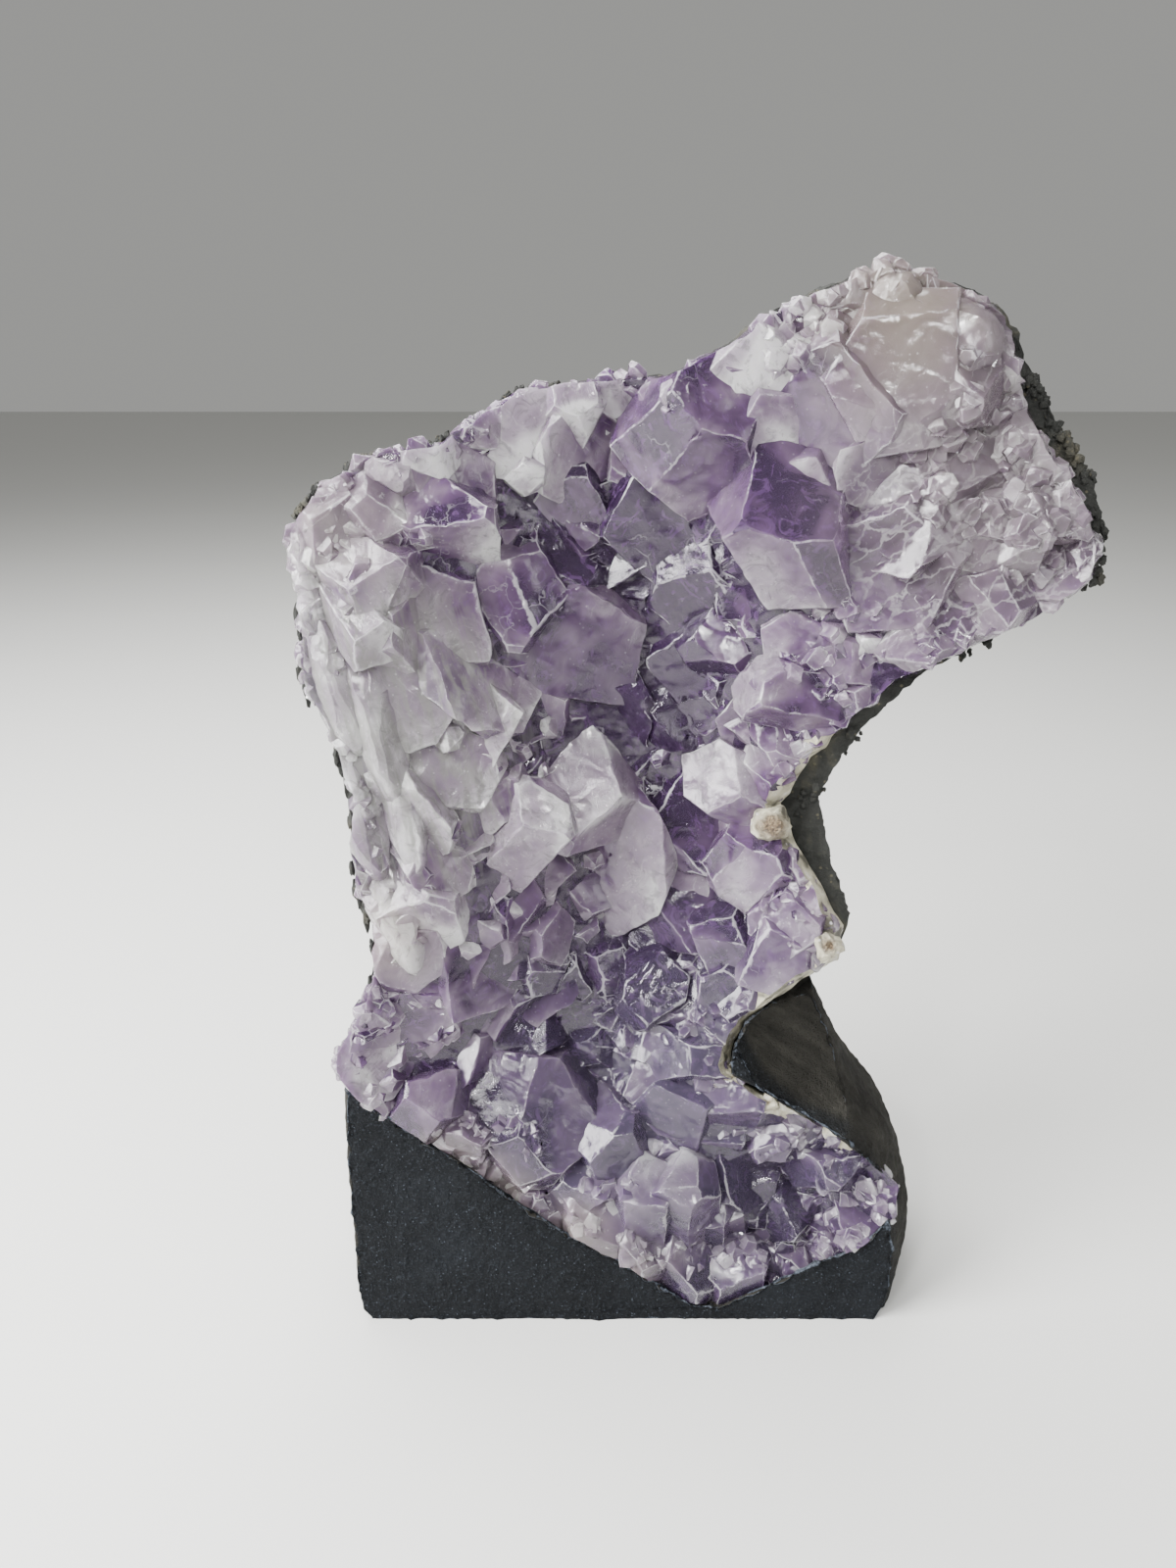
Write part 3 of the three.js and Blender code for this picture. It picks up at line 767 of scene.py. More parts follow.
class CrystalGrower:
    """Makes crystals one by one, and remembers the facts that colour each of them."""

    FACE_SLOPE = math.radians(50)
    LEAST_VOLUME = 0.5

    def __init__(self, seed):
        self.seed = seed
        self.draw = random.Random(seed)
        self.grown = []
        self.started = 0
        self.collection = None

    def own_draw(self):
        """Random draws for one crystal, which no change to another crystal alters."""
        self.started += 1
        return random.Random(1000 * self.seed + self.started)

    def start_group(self, name):
        self.collection = bpy.data.collections.new(name)

    def grow(self, root, tip, radius, tint, chip, spread=1.9, chips=1):
        """A six-sided prism with a pyramid of six faces, its edges chipped."""
        draw = self.own_draw()
        axis = (tip - root).normalized()
        start = root - axis * radius
        length = (tip - start).length + radius
        width = radius * min(max(2.2 - 0.3 * (tip - root).length / radius, 1.2), spread)
        turn = axis.to_track_quat("Z", "Y").to_matrix().to_4x4()
        roll = Matrix.Rotation(draw.uniform(0, math.pi), 4, "Z")
        squeeze = Matrix.Diagonal((draw.uniform(0.85, 1.15), draw.uniform(0.85, 1.15), 1, 1))
        place = Matrix.Translation(start + axis * (length / 2)) @ turn @ roll @ squeeze
        bm = bmesh.new()
        facet = bm.faces.layers.float.new("facet")
        source = bm.faces.layers.int.new("source")
        edge = bm.faces.layers.int.new("edge")
        bmesh.ops.create_cone(
            bm,
            cap_ends=True,
            segments=6,
            radius1=width * 1.12,
            radius2=width * 1.06,
            depth=length,
            matrix=place,
        )
        side = turn @ roll
        for k in range(6):
            out = (side @ Matrix.Rotation(math.radians(60 * k + 30), 4, "Z")).to_3x3() @ Vector((1, 0, 0))
            slope = out * math.cos(self.FACE_SLOPE) + axis * math.sin(self.FACE_SLOPE)
            setback = radius * (draw.uniform(0, 0.3) if k % 2 == 0 else draw.uniform(-0.4, 0.0))
            cut_off(bm, tip - slope * setback, slope)
        for _ in range(chips):
            normal = (axis + 0.8 * scatter(draw).normalized()).normalized()
            cut_off(bm, tip - normal * radius * draw.uniform(0.04, 0.22), normal)
        toward_eye = (VIEWPOINT - tip).normalized()
        normal = (toward_eye + 0.3 * axis + 0.33 * scatter(draw)).normalized()
        cut_off(bm, tip - normal * radius * draw.uniform(0.45, 0.8), normal)
        if chip:
            bmesh.ops.remove_doubles(bm, verts=list(bm.verts), dist=chip * 0.5)
            for face in bevel_edges(bm, list(bm.edges), chip, 1):
                face_width = 2 * face.calc_area() / face.calc_perimeter()
                face[edge] = int(face_width < 3 * chip)
        for face in bm.faces:
            face[facet] = draw.random()
            face[source] = len(self.grown)
        self.keep(bm, "crystal", (root, axis, (tip - root).length, tint))

    def grow_lump(self, low, high, radius, rise, tint):
        """A worn lump or column along a line, with a few flat faces toward the eye."""
        draw = self.own_draw()
        centre = (low + high) / 2
        toward_eye = (VIEWPOINT - centre).normalized()
        along = ((high - low) - (high - low).dot(toward_eye) * toward_eye).normalized()
        turn = Matrix((along, along.cross(toward_eye), -toward_eye)).transposed()
        sizes = Vector(((high - low).length / 2 + radius, radius, 0.8 * rise))
        bm = bmesh.new()
        facet = bm.faces.layers.float.new("facet")
        source = bm.faces.layers.int.new("source")
        place = Matrix.Translation(centre) @ turn.to_4x4() @ Matrix.Diagonal((*sizes, 1))
        bmesh.ops.create_icosphere(bm, subdivisions=3 if sizes.x > 10 else 2, radius=1, matrix=place)
        for _ in range(9):
            lean = scatter(draw)
            normal = (toward_eye + 0.55 * lean - 0.45 * lean.dot(along) * along).normalized()
            reach = Vector(a * b for a, b in zip(sizes, turn.transposed() @ normal)).length
            cut_off(bm, centre + normal * reach * draw.uniform(0.76, 0.9), normal)
        shade = draw.random()
        for face in bm.faces:
            face[facet] = shade
            face[source] = len(self.grown)
        self.keep(bm, "lump", (centre - toward_eye * rise, toward_eye, 2.6 * rise, tint))

    def keep(self, bm, name, facts):
        """Adds a crystal to its group if the cuts left it closed, which is all that a join can take."""
        bmesh.ops.recalc_face_normals(bm, faces=list(bm.faces))
        closed = all(len(edge.link_faces) == 2 for edge in bm.edges)
        if closed and bm.calc_volume(signed=True) > self.LEAST_VOLUME:
            self.add_solid(bm, name)
            self.grown.append(facts)
        bm.free()

    def add_solid(self, bm, name):
        mesh = bpy.data.meshes.new(name)
        bm.to_mesh(mesh)
        self.collection.objects.link(bpy.data.objects.new(name, mesh))

    def join_to(self, crust):
        """Joins the solids of the group to the crust, and clears them away."""
        combine(crust, "UNION", self.collection)
        for solid in list(self.collection.objects):
            bpy.data.meshes.remove(solid.data)
        bpy.data.collections.remove(self.collection)


def combine(base, operation, operand):
    """Joins a solid, or every solid of a collection, to the base, or cuts the base with it."""
    modifier = base.modifiers.new("join", "BOOLEAN")
    modifier.operation = operation
    modifier.solver = "MANIFOLD"
    if isinstance(operand, bpy.types.Collection):
        modifier.operand_type = "COLLECTION"
        modifier.collection = operand
    else:
        modifier.object = operand
    seen = base.evaluated_get(bpy.context.evaluated_depsgraph_get())
    result = bpy.data.meshes.new_from_object(seen)
    base.modifiers.clear()
    spent = base.data
    base.data = result
    bpy.data.meshes.remove(spent)


def tint_near(x, z):
    """The tint of the large crystals round a place on the face."""
    total = weight = 0
    for root_x, root_z, tip_x, tip_z, _, radius, tint in CRYSTALS:
        distance = math.hypot((root_x + tip_x) / 2 - x, (root_z + tip_z) / 2 - z) / radius
        share = 1 / (0.3 + distance) ** 4
        total += share * tint
        weight += share
    return total / weight


def grow_large(grower, chip):
    """The large crystals, each from its root on the bed to its tip."""
    for root_x, root_z, tip_x, tip_z, rise, radius, tint in CRYSTALS:
        root = behind_face(root_x, root_z, bed_depth(root_x, root_z) - 2)
        tip = behind_face(tip_x, tip_z, bed_depth(tip_x, tip_z) - rise)
        ahead = 0.45 * radius * (tip - root).normalized()
        grower.grow(root, tip + ahead, 1.08 * radius, tint, chip * min(1, radius / 8), chips=2)


def grow_lumps(grower):
    """The worn lumps and columns, with their lower sides sunk into the bed."""
    for low_x, low_z, high_x, high_z, radius, rise, tint in LUMPS:
        low = behind_face(low_x, low_z, bed_depth(low_x, low_z) - 0.3 * rise)
        high = behind_face(high_x, high_z, bed_depth(high_x, high_z) - 0.3 * rise)
        grower.grow_lump(low, high, radius, rise, tint)


def grow_gaps(grower, chip, crust):
    """Closes each gap where the bed still shows with the largest crystal that fits."""
    draw = grower.draw
    surface = BVHTree.FromObject(crust, bpy.context.evaluated_depsgraph_get())
    source = crust.data.attributes["source"].data
    placed = []

    def is_bare(x, z):
        hit = surface.ray_cast(VIEWPOINT, (behind_face(x, z, 0) - VIEWPOINT).normalized())
        return hit[0] is not None and source[hit[2]].value == BED

    for radius, tries in GAP_CRYSTALS:
        for _ in range(tries):
            row = row_at(draw.random())
            at = across_row(row, draw.random(), LEFT_RIND + 1, LEFT_RIND + row[4] + 1)
            if not is_bare(at.x, at.y):
                continue
            if any(math.hypot(at.x - x, at.y - z) < PACKING * (radius + r) for x, z, r in placed):
                continue
            ring = [(0.55 * radius * math.cos(k), 0.55 * radius * math.sin(k)) for k in range(6)]
            if sum(is_bare(at.x + across, at.y + up) for across, up in ring) < BARE_PLACES:
                continue
            lean = Vector((draw.uniform(-0.5, 0.5), draw.uniform(-0.9, 0.3))) * radius
            rise = BED_THICKNESS + 0.4 * radius + draw.uniform(0, 2.5)
            tip = behind_face(at.x + lean.x, at.y + lean.y, bed_depth(at.x, at.y) - rise)
            root = behind_face(at.x - lean.x, at.y - lean.y, bed_depth(at.x, at.y) - 1)
            tint = tint_near(at.x, at.y) * draw.uniform(0.7, 1.25)
            grower.grow(root, tip, radius * draw.uniform(0.9, 1.2), tint, chip * min(1, radius / 7))
            placed.append((at.x, at.y, radius))


def grow_patches(grower, chip, surface):
    """Small crystals on the flanks of the large ones, where the face is granular."""
    draw = grower.draw
    for x, z, half_width, half_height, count, radius, tint, lean_x, lean_z, most in PATCHES:
        for _ in range(count):
            angle, reach = draw.uniform(0, 2 * math.pi), math.sqrt(draw.random())
            across = half_width * reach * math.cos(angle)
            up = half_height * reach * math.sin(angle)
            size = radius * draw.uniform(0.5, 1.25)
            stand = draw.uniform(0.1, most)
            lean = Vector((lean_x, 0, lean_z))
            place_on(grower, surface, behind_face(x + across, z + up, 0), size, tint, chip, lean, stand)


def place_on(grower, surface, at, radius, tint, chip, lean, stand):
    """One small crystal where the sight line through a point meets the surface."""
    draw = grower.draw
    hit, normal, _, _ = surface.ray_cast(VIEWPOINT, (at - VIEWPOINT).normalized())
    if hit is None:
        return
    axis = (normal + Vector((0, -0.4, 0)) + lean + 0.3 * scatter(draw)).normalized()
    root = hit - axis * radius
    tip = hit + axis * radius * stand
    tint += 0.3 * draw.random() ** 2
    grower.grow(root, tip, radius, tint, chip if radius > LEAST_CHIPPED else 0, spread=1.15)


def grow_rim(grower, chip, surface):
    """Grains along the broken rim, on both edges of every row."""
    draw = grower.draw
    for i in range(RIM_PLACES):
        place = (i + draw.random()) / RIM_PLACES
        row = row_at(place)
        rind = left_rind(place)
        for share in (0, 1):
            for inset in RIM_INSETS:
                at = across_row(row, share, rind + inset, rind + row[4] + inset)
                at += Vector((draw.uniform(-0.8, 0.8), draw.uniform(-0.8, 0.8)))
                lean = Vector((0.7 * (2 * share - 1), 0, 0.3 if at.y > RIM_MIDDLE else -0.3))
                size = draw.uniform(1.2, 2.8)
                stand = draw.uniform(0, 0.5)
                place_on(grower, surface, behind_face(at.x, at.y, 0), size, 0.1, chip, lean, stand)


def grow_nodule(grower, x, z, radius, surface):
    """A rounded lump of agate on the worn rim."""
    hit, normal, _, _ = surface.ray_cast(VIEWPOINT, (behind_face(x, z, 0) - VIEWPOINT).normalized())
    if hit is None:
        return
    bm = bmesh.new()
    source = bm.faces.layers.int.new("source")
    middle = Matrix.Translation(hit + 0.35 * radius * normal)
    bmesh.ops.create_icosphere(bm, subdivisions=3, radius=radius, matrix=middle)
    for vert in bm.verts:
        lumps = 1.9 * noise.noise(vert.co / 3.2) + 0.6 * noise.noise(vert.co / 1.1)
        vert.co += (vert.co - hit).normalized() * lumps
    for face in bm.faces:
        face[source] = NODULE
    grower.add_solid(bm, "nodule")
    bm.free()


def split_to_triangles(bm):
    bmesh.ops.triangulate(bm, faces=[f for f in bm.faces if len(f.verts) > 3])


def split_long_edges(bm, longest, passes=4):
    for _ in range(passes):
        split_to_triangles(bm)
        long_edges = [e for e in bm.edges if e.calc_length() > longest]
        if not long_edges:
            return
        bmesh.ops.subdivide_edges(bm, edges=long_edges, cuts=1, use_grid_fill=False)
    split_to_triangles(bm)


def mark_creases(bm, degrees):
    """Smooth shading with creases where two faces meet at more than an angle."""
    for face in bm.faces:
        face.smooth = True
    for edge in bm.edges:
        edge.smooth = len(edge.link_faces) == 2 and edge.calc_face_angle() < math.radians(degrees)


def from_right_rim(x, z):
    """How far a place on the face is from the right edge of the crust."""
    at = Vector((x, z))
    corners = [Vector((row[2] - (LEFT_RIND + row[4]), row[3])) for row in ROWS]
    nearest = math.inf
    for low, high in zip(corners, corners[1:]):
        edge = high - low
        share = min(max((at - low).dot(edge) / max(edge.length_squared, 1e-6), 0), 1)
        nearest = min(nearest, (at - low - edge * share).length)
    return nearest


class NodeBuilder:
    """Adds shader nodes to one tree and links them."""

    def __init__(self, tree):
        self.tree = tree
        self.column = 0

    def add(self, kind, inputs=None, **settings):
        node = self.tree.nodes.new(kind)
        self.column += 1
        node.location = (180 * self.column, -40 * (self.column % 7))
        for name, value in settings.items():
            setattr(node, name, value)
        for name, value in (inputs or {}).items():
            self.fill(node.inputs[name], value)
        return node

    def fill(self, socket, value):
        """Links a socket to the output of another node, or gives it a number, vector or colour."""
        if isinstance(value, bpy.types.NodeSocket):
            self.tree.links.new(value, socket)
        elif socket.type == "RGBA":
            socket.default_value = (*value, 1)
        else:
            socket.default_value = value

    def maths(self, operation, first, second):
        return self.add("ShaderNodeMath", {0: first, 1: second}, operation=operation).outputs[0]

    def plus(self, first, second):
        return self.maths("ADD", first, second)

    def minus(self, first, second):
        return self.maths("SUBTRACT", first, second)

    def times(self, first, second):
        return self.maths("MULTIPLY", first, second)

    def ramp(self, value, stops):
        """A colour read off a row of stops."""
        node = self.add("ShaderNodeValToRGB", {"Fac": value})
        ramp = node.color_ramp
        while len(ramp.elements) < len(stops):
            ramp.elements.new(0.5)
        for element, (position, colour) in zip(ramp.elements, stops):
            element.position = position
            element.color = (*colour, 1)
        return node.outputs["Color"]

    def mask(self, value, off, on):
        """0 where the value is off or beyond, and 1 where it is on or beyond."""
        inputs = {"Value": value, "From Min": off, "From Max": on}
        return self.add("ShaderNodeMapRange", inputs, interpolation_type="SMOOTHSTEP").outputs["Result"]

    def mix(self, amount, first, second):
        return self.add("ShaderNodeMix", {0: amount, 6: first, 7: second}, data_type="RGBA").outputs[2]

    def noise_at(self, place, scale, detail, roughness=0.5, distortion=0):
        inputs = {"Vector": place, "Scale": scale, "Detail": detail}
        inputs.update({"Roughness": roughness, "Distortion": distortion})
        return self.add("ShaderNodeTexNoise", inputs).outputs["Fac"]

    def edges_of_cells(self, place, scale):
        """How far a place is from the nearest edge of its cell."""
        inputs = {"Vector": place, "Scale": scale}
        return self.add("ShaderNodeTexVoronoi", inputs, feature="DISTANCE_TO_EDGE").outputs["Distance"]

    def stretched(self, place, turn, sizes):
        """A place turned, and measured in its own size along each axis."""
        inputs = {"Vector": place, "Rotation": turn, "Scale": sizes}
        return self.add("ShaderNodeMapping", inputs, vector_type="TEXTURE").outputs[0]

    def distance(self, place, spot):
        return self.add("ShaderNodeVectorMath", {0: place, 1: spot}, operation="DISTANCE").outputs["Value"]

    def mask_attribute(self, name):
        return self.add("ShaderNodeAttribute", attribute_name=name).outputs["Fac"]

    def finish(self, shader, colour, height, strength, distance):
        """Gives a shader its colour and its relief."""
        bump = self.add("ShaderNodeBump", {"Height": height, "Strength": strength, "Distance": distance})
        self.fill(shader.inputs["Base Color"], colour)
        self.fill(shader.inputs["Normal"], bump.outputs["Normal"])


def grain_group():
    """Clouds, grain and specks that every finish of the geode shares."""
    name = "Mineral grain"
    if name in bpy.data.node_groups:
        return bpy.data.node_groups[name]
    tree = bpy.data.node_groups.new(name, "ShaderNodeTree")
    inputs = {"Cloud Scale": 60, "Grain Scale": 900, "Speck Scale": 350, "Speck Share": 0.1}
    for title, default in inputs.items():
        socket = tree.interface.new_socket(title, in_out="INPUT", socket_type="NodeSocketFloat")
        socket.default_value = default
    for title in ("Clouds", "Grain", "Specks"):
        tree.interface.new_socket(title, in_out="OUTPUT", socket_type="NodeSocketFloat")
    build = NodeBuilder(tree)
    given = build.add("NodeGroupInput").outputs
    place = build.add("ShaderNodeTexCoord").outputs["Object"]
    clouds = build.noise_at(place, given["Cloud Scale"], 3, distortion=0.6)
    grain = build.noise_at(place, given["Grain Scale"], 4, roughness=0.65)
    cells = build.add("ShaderNodeTexVoronoi", {"Vector": place, "Scale": given["Speck Scale"]})
    chosen = build.add("ShaderNodeSeparateColor", {"Color": cells.outputs["Color"]})
    is_speck = build.maths("LESS_THAN", chosen.outputs[0], given["Speck Share"])
    specks = build.times(is_speck, build.mask(cells.outputs["Distance"], 0.42, 0.2))
    build.add("NodeGroupOutput", {"Clouds": clouds, "Grain": grain, "Specks": specks})
    return tree


def new_material(name):
    material = bpy.data.materials.new(name)
    material.use_nodes = True
    tree = material.node_tree
    tree.nodes.clear()
    build = NodeBuilder(tree)
    shader = build.add("ShaderNodeBsdfPrincipled")
    build.add("ShaderNodeOutputMaterial", {"Surface": shader.outputs["BSDF"]})
    return material, build, shader


def grains_of(build, cloud, grain, speck, share):
    """The shared clouds, grain and specks, at the scales of one finish."""
    values = {"Cloud Scale": cloud, "Grain Scale": grain, "Speck Scale": speck, "Speck Share": share}
    return build.add("ShaderNodeGroup", values, node_tree=grain_group()).outputs


def depth_of_violet(build, crystal, clouds):
    """0 in pale quartz and 1 in the darkest, by the crystal's tint, its clouds and its facets, with painted
    shade that darkens each crystal towards its root.
    """
    parts = build.add("ShaderNodeSeparateColor", {"Color": crystal.outputs["Color"]})
    tint, along, facet = parts.outputs
    cloud_lift = build.times(build.minus(clouds, 0.5), 1.7)
    facet_lift = build.times(build.minus(facet, 0.5), 0.4)
    # Painted shade: darker towards a crystal's root and paler at its tip, for the valleys between the
    # crystals
    rooted = build.minus(0.66, build.maths("MAXIMUM", along, 0.33))
    painted_root_shade = build.times(rooted, build.plus(0.5, build.times(tint, 0.6)))
    lift = build.plus(cloud_lift, build.plus(facet_lift, painted_root_shade))
    thin = build.times(crystal.outputs["Alpha"], -0.08)
    depth = build.plus(build.plus(tint, thin), build.times(lift, 0.75))
    return build.times(build.plus(depth, 0.01), 1.35)


def bent_place(build, place):
    """A place shifted by noise, so that lines which follow it aren't straight."""
    warp = build.add("ShaderNodeTexNoise", {"Vector": place, "Scale": 220, "Detail": 3})
    shift = build.add("ShaderNodeVectorMath", {0: warp.outputs["Color"], "Scale": 0.006}, operation="SCALE")
    return build.add("ShaderNodeVectorMath", {0: place, 1: shift.outputs[0]}, operation="ADD").outputs[0]


def cracks_in(build, bent, clouds):
    """Bright cracks, in patches."""
    crack = build.mask(build.edges_of_cells(bent, 130), 0.022, 0.006)
    return build.times(crack, build.mask(clouds, 0.56, 0.66))


def lines_in_lobe(build, place, bent, veils):
    """The slanting net of bright lines in the right lobe."""
    turned = build.stretched(bent, (0, -0.65, 0), (1 / 60, 1 / 110, 1 / 170))
    line = build.mask(build.edges_of_cells(turned, 1), 0.06, 0.015)
    away = build.plus(build.distance(place, LOBE), build.times(veils, 0.02))
    return build.times(line, build.mask(away, 0.052, 0.036))


def streaks_down_wall(build, place):
    """Grey streaks that run down the left wall."""
    down = build.stretched(place, (0, -0.21, 0), (1 / 420, 1 / 420, 1 / 30))
    streak = build.mask(build.noise_at(down, 1, 3, distortion=0.5), 0.42, 0.62)
    on_wall = build.times(build.mask(build.distance(place, LEFT_WALL), 0.06, 0.035), 0.75)
    return build.times(streak, on_wall)


def feathers_in(build, bent, clouds):
    """Fine lines of healed cracks, which run one way in some parts and another way in the rest."""
    ways = []
    for turn in ((0.3, 0.5, 0.2), (-0.5, -0.7, 0.4)):
        turned = build.stretched(bent, turn, (1 / 900, 1 / 300, 1 / 110))
        ways.append(build.mask(build.noise_at(turned, 1, 4, roughness=0.65), 0.53, 0.68))
    return build.mix(build.mask(clouds, 0.46, 0.54), *ways)


def stained(build, place, clouds, colour):
    """A colour with the stains over it."""
    for spot, reach, share, stain in STAINS:
        away = build.plus(build.distance(place, spot), build.times(clouds, 0.02))
        amount = build.times(build.mask(away, reach + 0.01, 0.3 * reach), share)
        colour = build.mix(amount, colour, stain)
    return colour


def broken_and_highlit_edges(build, near_edge, flakes, clouds):
    """Where the edges of the crystals are broken to grains, in stretches; their pale colour is partly the
    broken quartz and partly a painted highlight along the edges.
    """
    stretches = build.times(build.minus(clouds, 0.5), 3)
    ragged = build.plus(build.times(flakes, 2), stretches)
    grains = build.mask(build.plus(near_edge, ragged), 1.9, 2.25)
    return build.times(grains, build.mask(near_edge, 0.2, 0.55))


def amethyst_material(settings):
    material, build, shader = new_material("amethyst")
    crystal = build.add("ShaderNodeAttribute", attribute_name="crystal")
    place = build.add("ShaderNodeTexCoord").outputs["Object"]
    bent = bent_place(build, place)
    grains = grains_of(build, 55, 1500, 1100, 0.05)
    clouds = grains["Clouds"]
    veils = build.noise_at(place, 150, 6, roughness=0.7, distortion=2.5)
    flakes = build.noise_at(place, 520, 5, roughness=0.75)
    depth = depth_of_violet(build, crystal, clouds)
    clear = build.mask(depth, 0.75, 0.25)
    feathers = build.times(feathers_in(build, bent, clouds), clear)
    broken_and_highlit = broken_and_highlit_edges(build, crystal.outputs["Alpha"], flakes, clouds)
    colour = build.ramp(
        depth,
        [
            (0.0, settings.pale),
            (0.2, (0.44, 0.38, 0.445)),
            (0.45, (0.27, 0.195, 0.285)),
            (0.72, (0.135, 0.078, 0.16)),
            (1.0, settings.deep),
        ],
    )
    milky = build.times(build.mask(veils, 0.52, 0.8), build.times(clear, 0.22))
    smoke = build.times(build.mask(veils, 0.5, 0.36), build.times(clear, 0.48))
    inner_light = build.times(build.minus(1, clear), build.mask(veils, 0.5, 0.64))
    colour = build.mix(milky, colour, settings.pale)
    colour = build.mix(build.times(cracks_in(build, bent, clouds), 0.3), colour, settings.chip)
    colour = build.mix(build.times(lines_in_lobe(build, place, bent, veils), 0.6), colour, settings.chip)
    colour = build.mix(streaks_down_wall(build, place), colour, STREAK_GREY)
    colour = build.mix(build.times(feathers, 0.3), colour, settings.chip)
    colour = build.mix(smoke, colour, SMOKE_GREY)
    colour = build.mix(build.times(inner_light, 0.5), colour, INNER_VIOLET)
    colour = stained(build, place, clouds, colour)
    # Pale broken edges: partly the whitish broken quartz and partly a painted highlight along the edges
    colour = build.mix(build.times(broken_and_highlit, 0.6), colour, settings.chip)
    # Painted glints: small white specks over the faces, more of them in the clearer quartz
    painted_glints = build.times(grains["Specks"], build.plus(build.times(clear, 0.25), 0.1))
    colour = build.mix(painted_glints, colour, GLINT_WHITE)
    ripples = build.noise_at(place, 120, 1.5, distortion=0.8)
    height = build.plus(build.times(ripples, 2.4), build.times(veils, 0.4))
    height = build.plus(height, build.times(broken_and_highlit, build.times(flakes, 0.5)))
    height = build.plus(height, build.times(feathers, 0.2))
    build.finish(shader, colour, height, 0.45, 0.0006)
    rough = build.plus(0.03, build.times(build.mask(veils, 0.4, 0.7), 0.12))
    build.fill(shader.inputs["Roughness"], rough)
    shader.inputs["IOR"].default_value = 1.54
    shader.inputs["Transmission Weight"].default_value = 0.6
    shader.inputs["Subsurface Weight"].default_value = 0.6
    shader.inputs["Subsurface Radius"].default_value = (0.9, 0.75, 1.0)
    shader.inputs["Subsurface Scale"].default_value = 0.006
    return material


def agate_material(settings):
    material, build, shader = new_material("agate")
    grains = grains_of(build, 170, 1500, 700, 0.16)
    agate = Vector(settings.agate)
    colour = build.ramp(
        grains["Clouds"],
        [(0.36, 0.15 * agate), (0.46, 0.6 * agate), (0.58, agate), (0.72, (0.74, 0.72, 0.66))],
    )
    colour = build.mix(build.times(grains["Specks"], 0.6), colour, settings.chip)
    crumbs = build.ramp(
        grains["Grain"],
        [(0.35, (0.02, 0.014, 0.01)), (0.5, (0.12, 0.08, 0.045)), (0.7, (0.3, 0.24, 0.15))],
    )
    colour = build.mix(build.mask_attribute("brown"), colour, crumbs)
    height = build.plus(grains["Grain"], build.times(grains["Clouds"], 2))
    build.finish(shader, colour, height, 0.9, 0.0014)
    shader.inputs["Roughness"].default_value = 0.45
    return material


def basalt_material(settings):
    material, build, shader = new_material("basalt")
    grains = grains_of(build, 90, 1100, 700, 0.12)
    rock, crumbs = Vector(settings.rock), Vector(settings.crumbs)
    colour = build.ramp(
        grains["Clouds"], [(0.3, 0.45 * rock), (0.55, rock), (0.75, rock.lerp(crumbs, 0.35))]
    )
    colour = build.mix(build.times(grains["Specks"], 0.35), colour, crumbs)
    height = build.plus(grains["Grain"], build.times(grains["Clouds"], 2.5))
    build.finish(shader, colour, height, 0.9, 0.0012)
    shader.inputs["Roughness"].default_value = 0.85
    shader.inputs["Specular IOR Level"].default_value = 0.3
    return material


def coat_material(settings):
    material, build, shader = new_material("foot_coat")
    place = build.add("ShaderNodeTexCoord").outputs["Object"]
    grains = grains_of(build, 30, 1500, 1300, 0.07)
    coat, flank = Vector(settings.coat), Vector(settings.flank)
    colour = build.ramp(grains["Clouds"], [(0.35, 0.7 * coat), (0.55, coat), (0.75, 1.7 * coat)])
    colour = build.mix(build.mask(grains["Grain"], 0.5, 0.7), colour, 4 * coat)
    colour = build.mix(build.times(grains["Specks"], 0.6), colour, 16 * coat)
    turned = build.stretched(place, (0, 0.67, 0), (1 / 35, 1 / 90, 1 / 240))
    smooth_rock = build.ramp(
        build.noise_at(turned, 1, 5, roughness=0.6),
        [(0.32, 0.55 * flank), (0.5, flank), (0.62, 1.4 * flank), (0.75, 2.2 * flank)],
    )
    colour = build.mix(build.mask_attribute("flank"), colour, smooth_rock)
    ragged = build.plus(grains["Grain"], grains["Clouds"])
    rubbed = build.mask(build.times(build.mask_attribute("worn"), ragged), 0.75, 1.1)
    colour = build.mix(build.times(rubbed, 0.7), colour, 24 * coat)
    height = build.plus(grains["Grain"], build.times(grains["Specks"], 0.8))
    height = build.plus(height, build.times(build.noise_at(place, 420, 4), 1.5))
    build.finish(shader, colour, height, 1, 0.002)
    shader.inputs["Roughness"].default_value = 0.75
    shader.inputs["Specular IOR Level"].default_value = 0.12
    return material


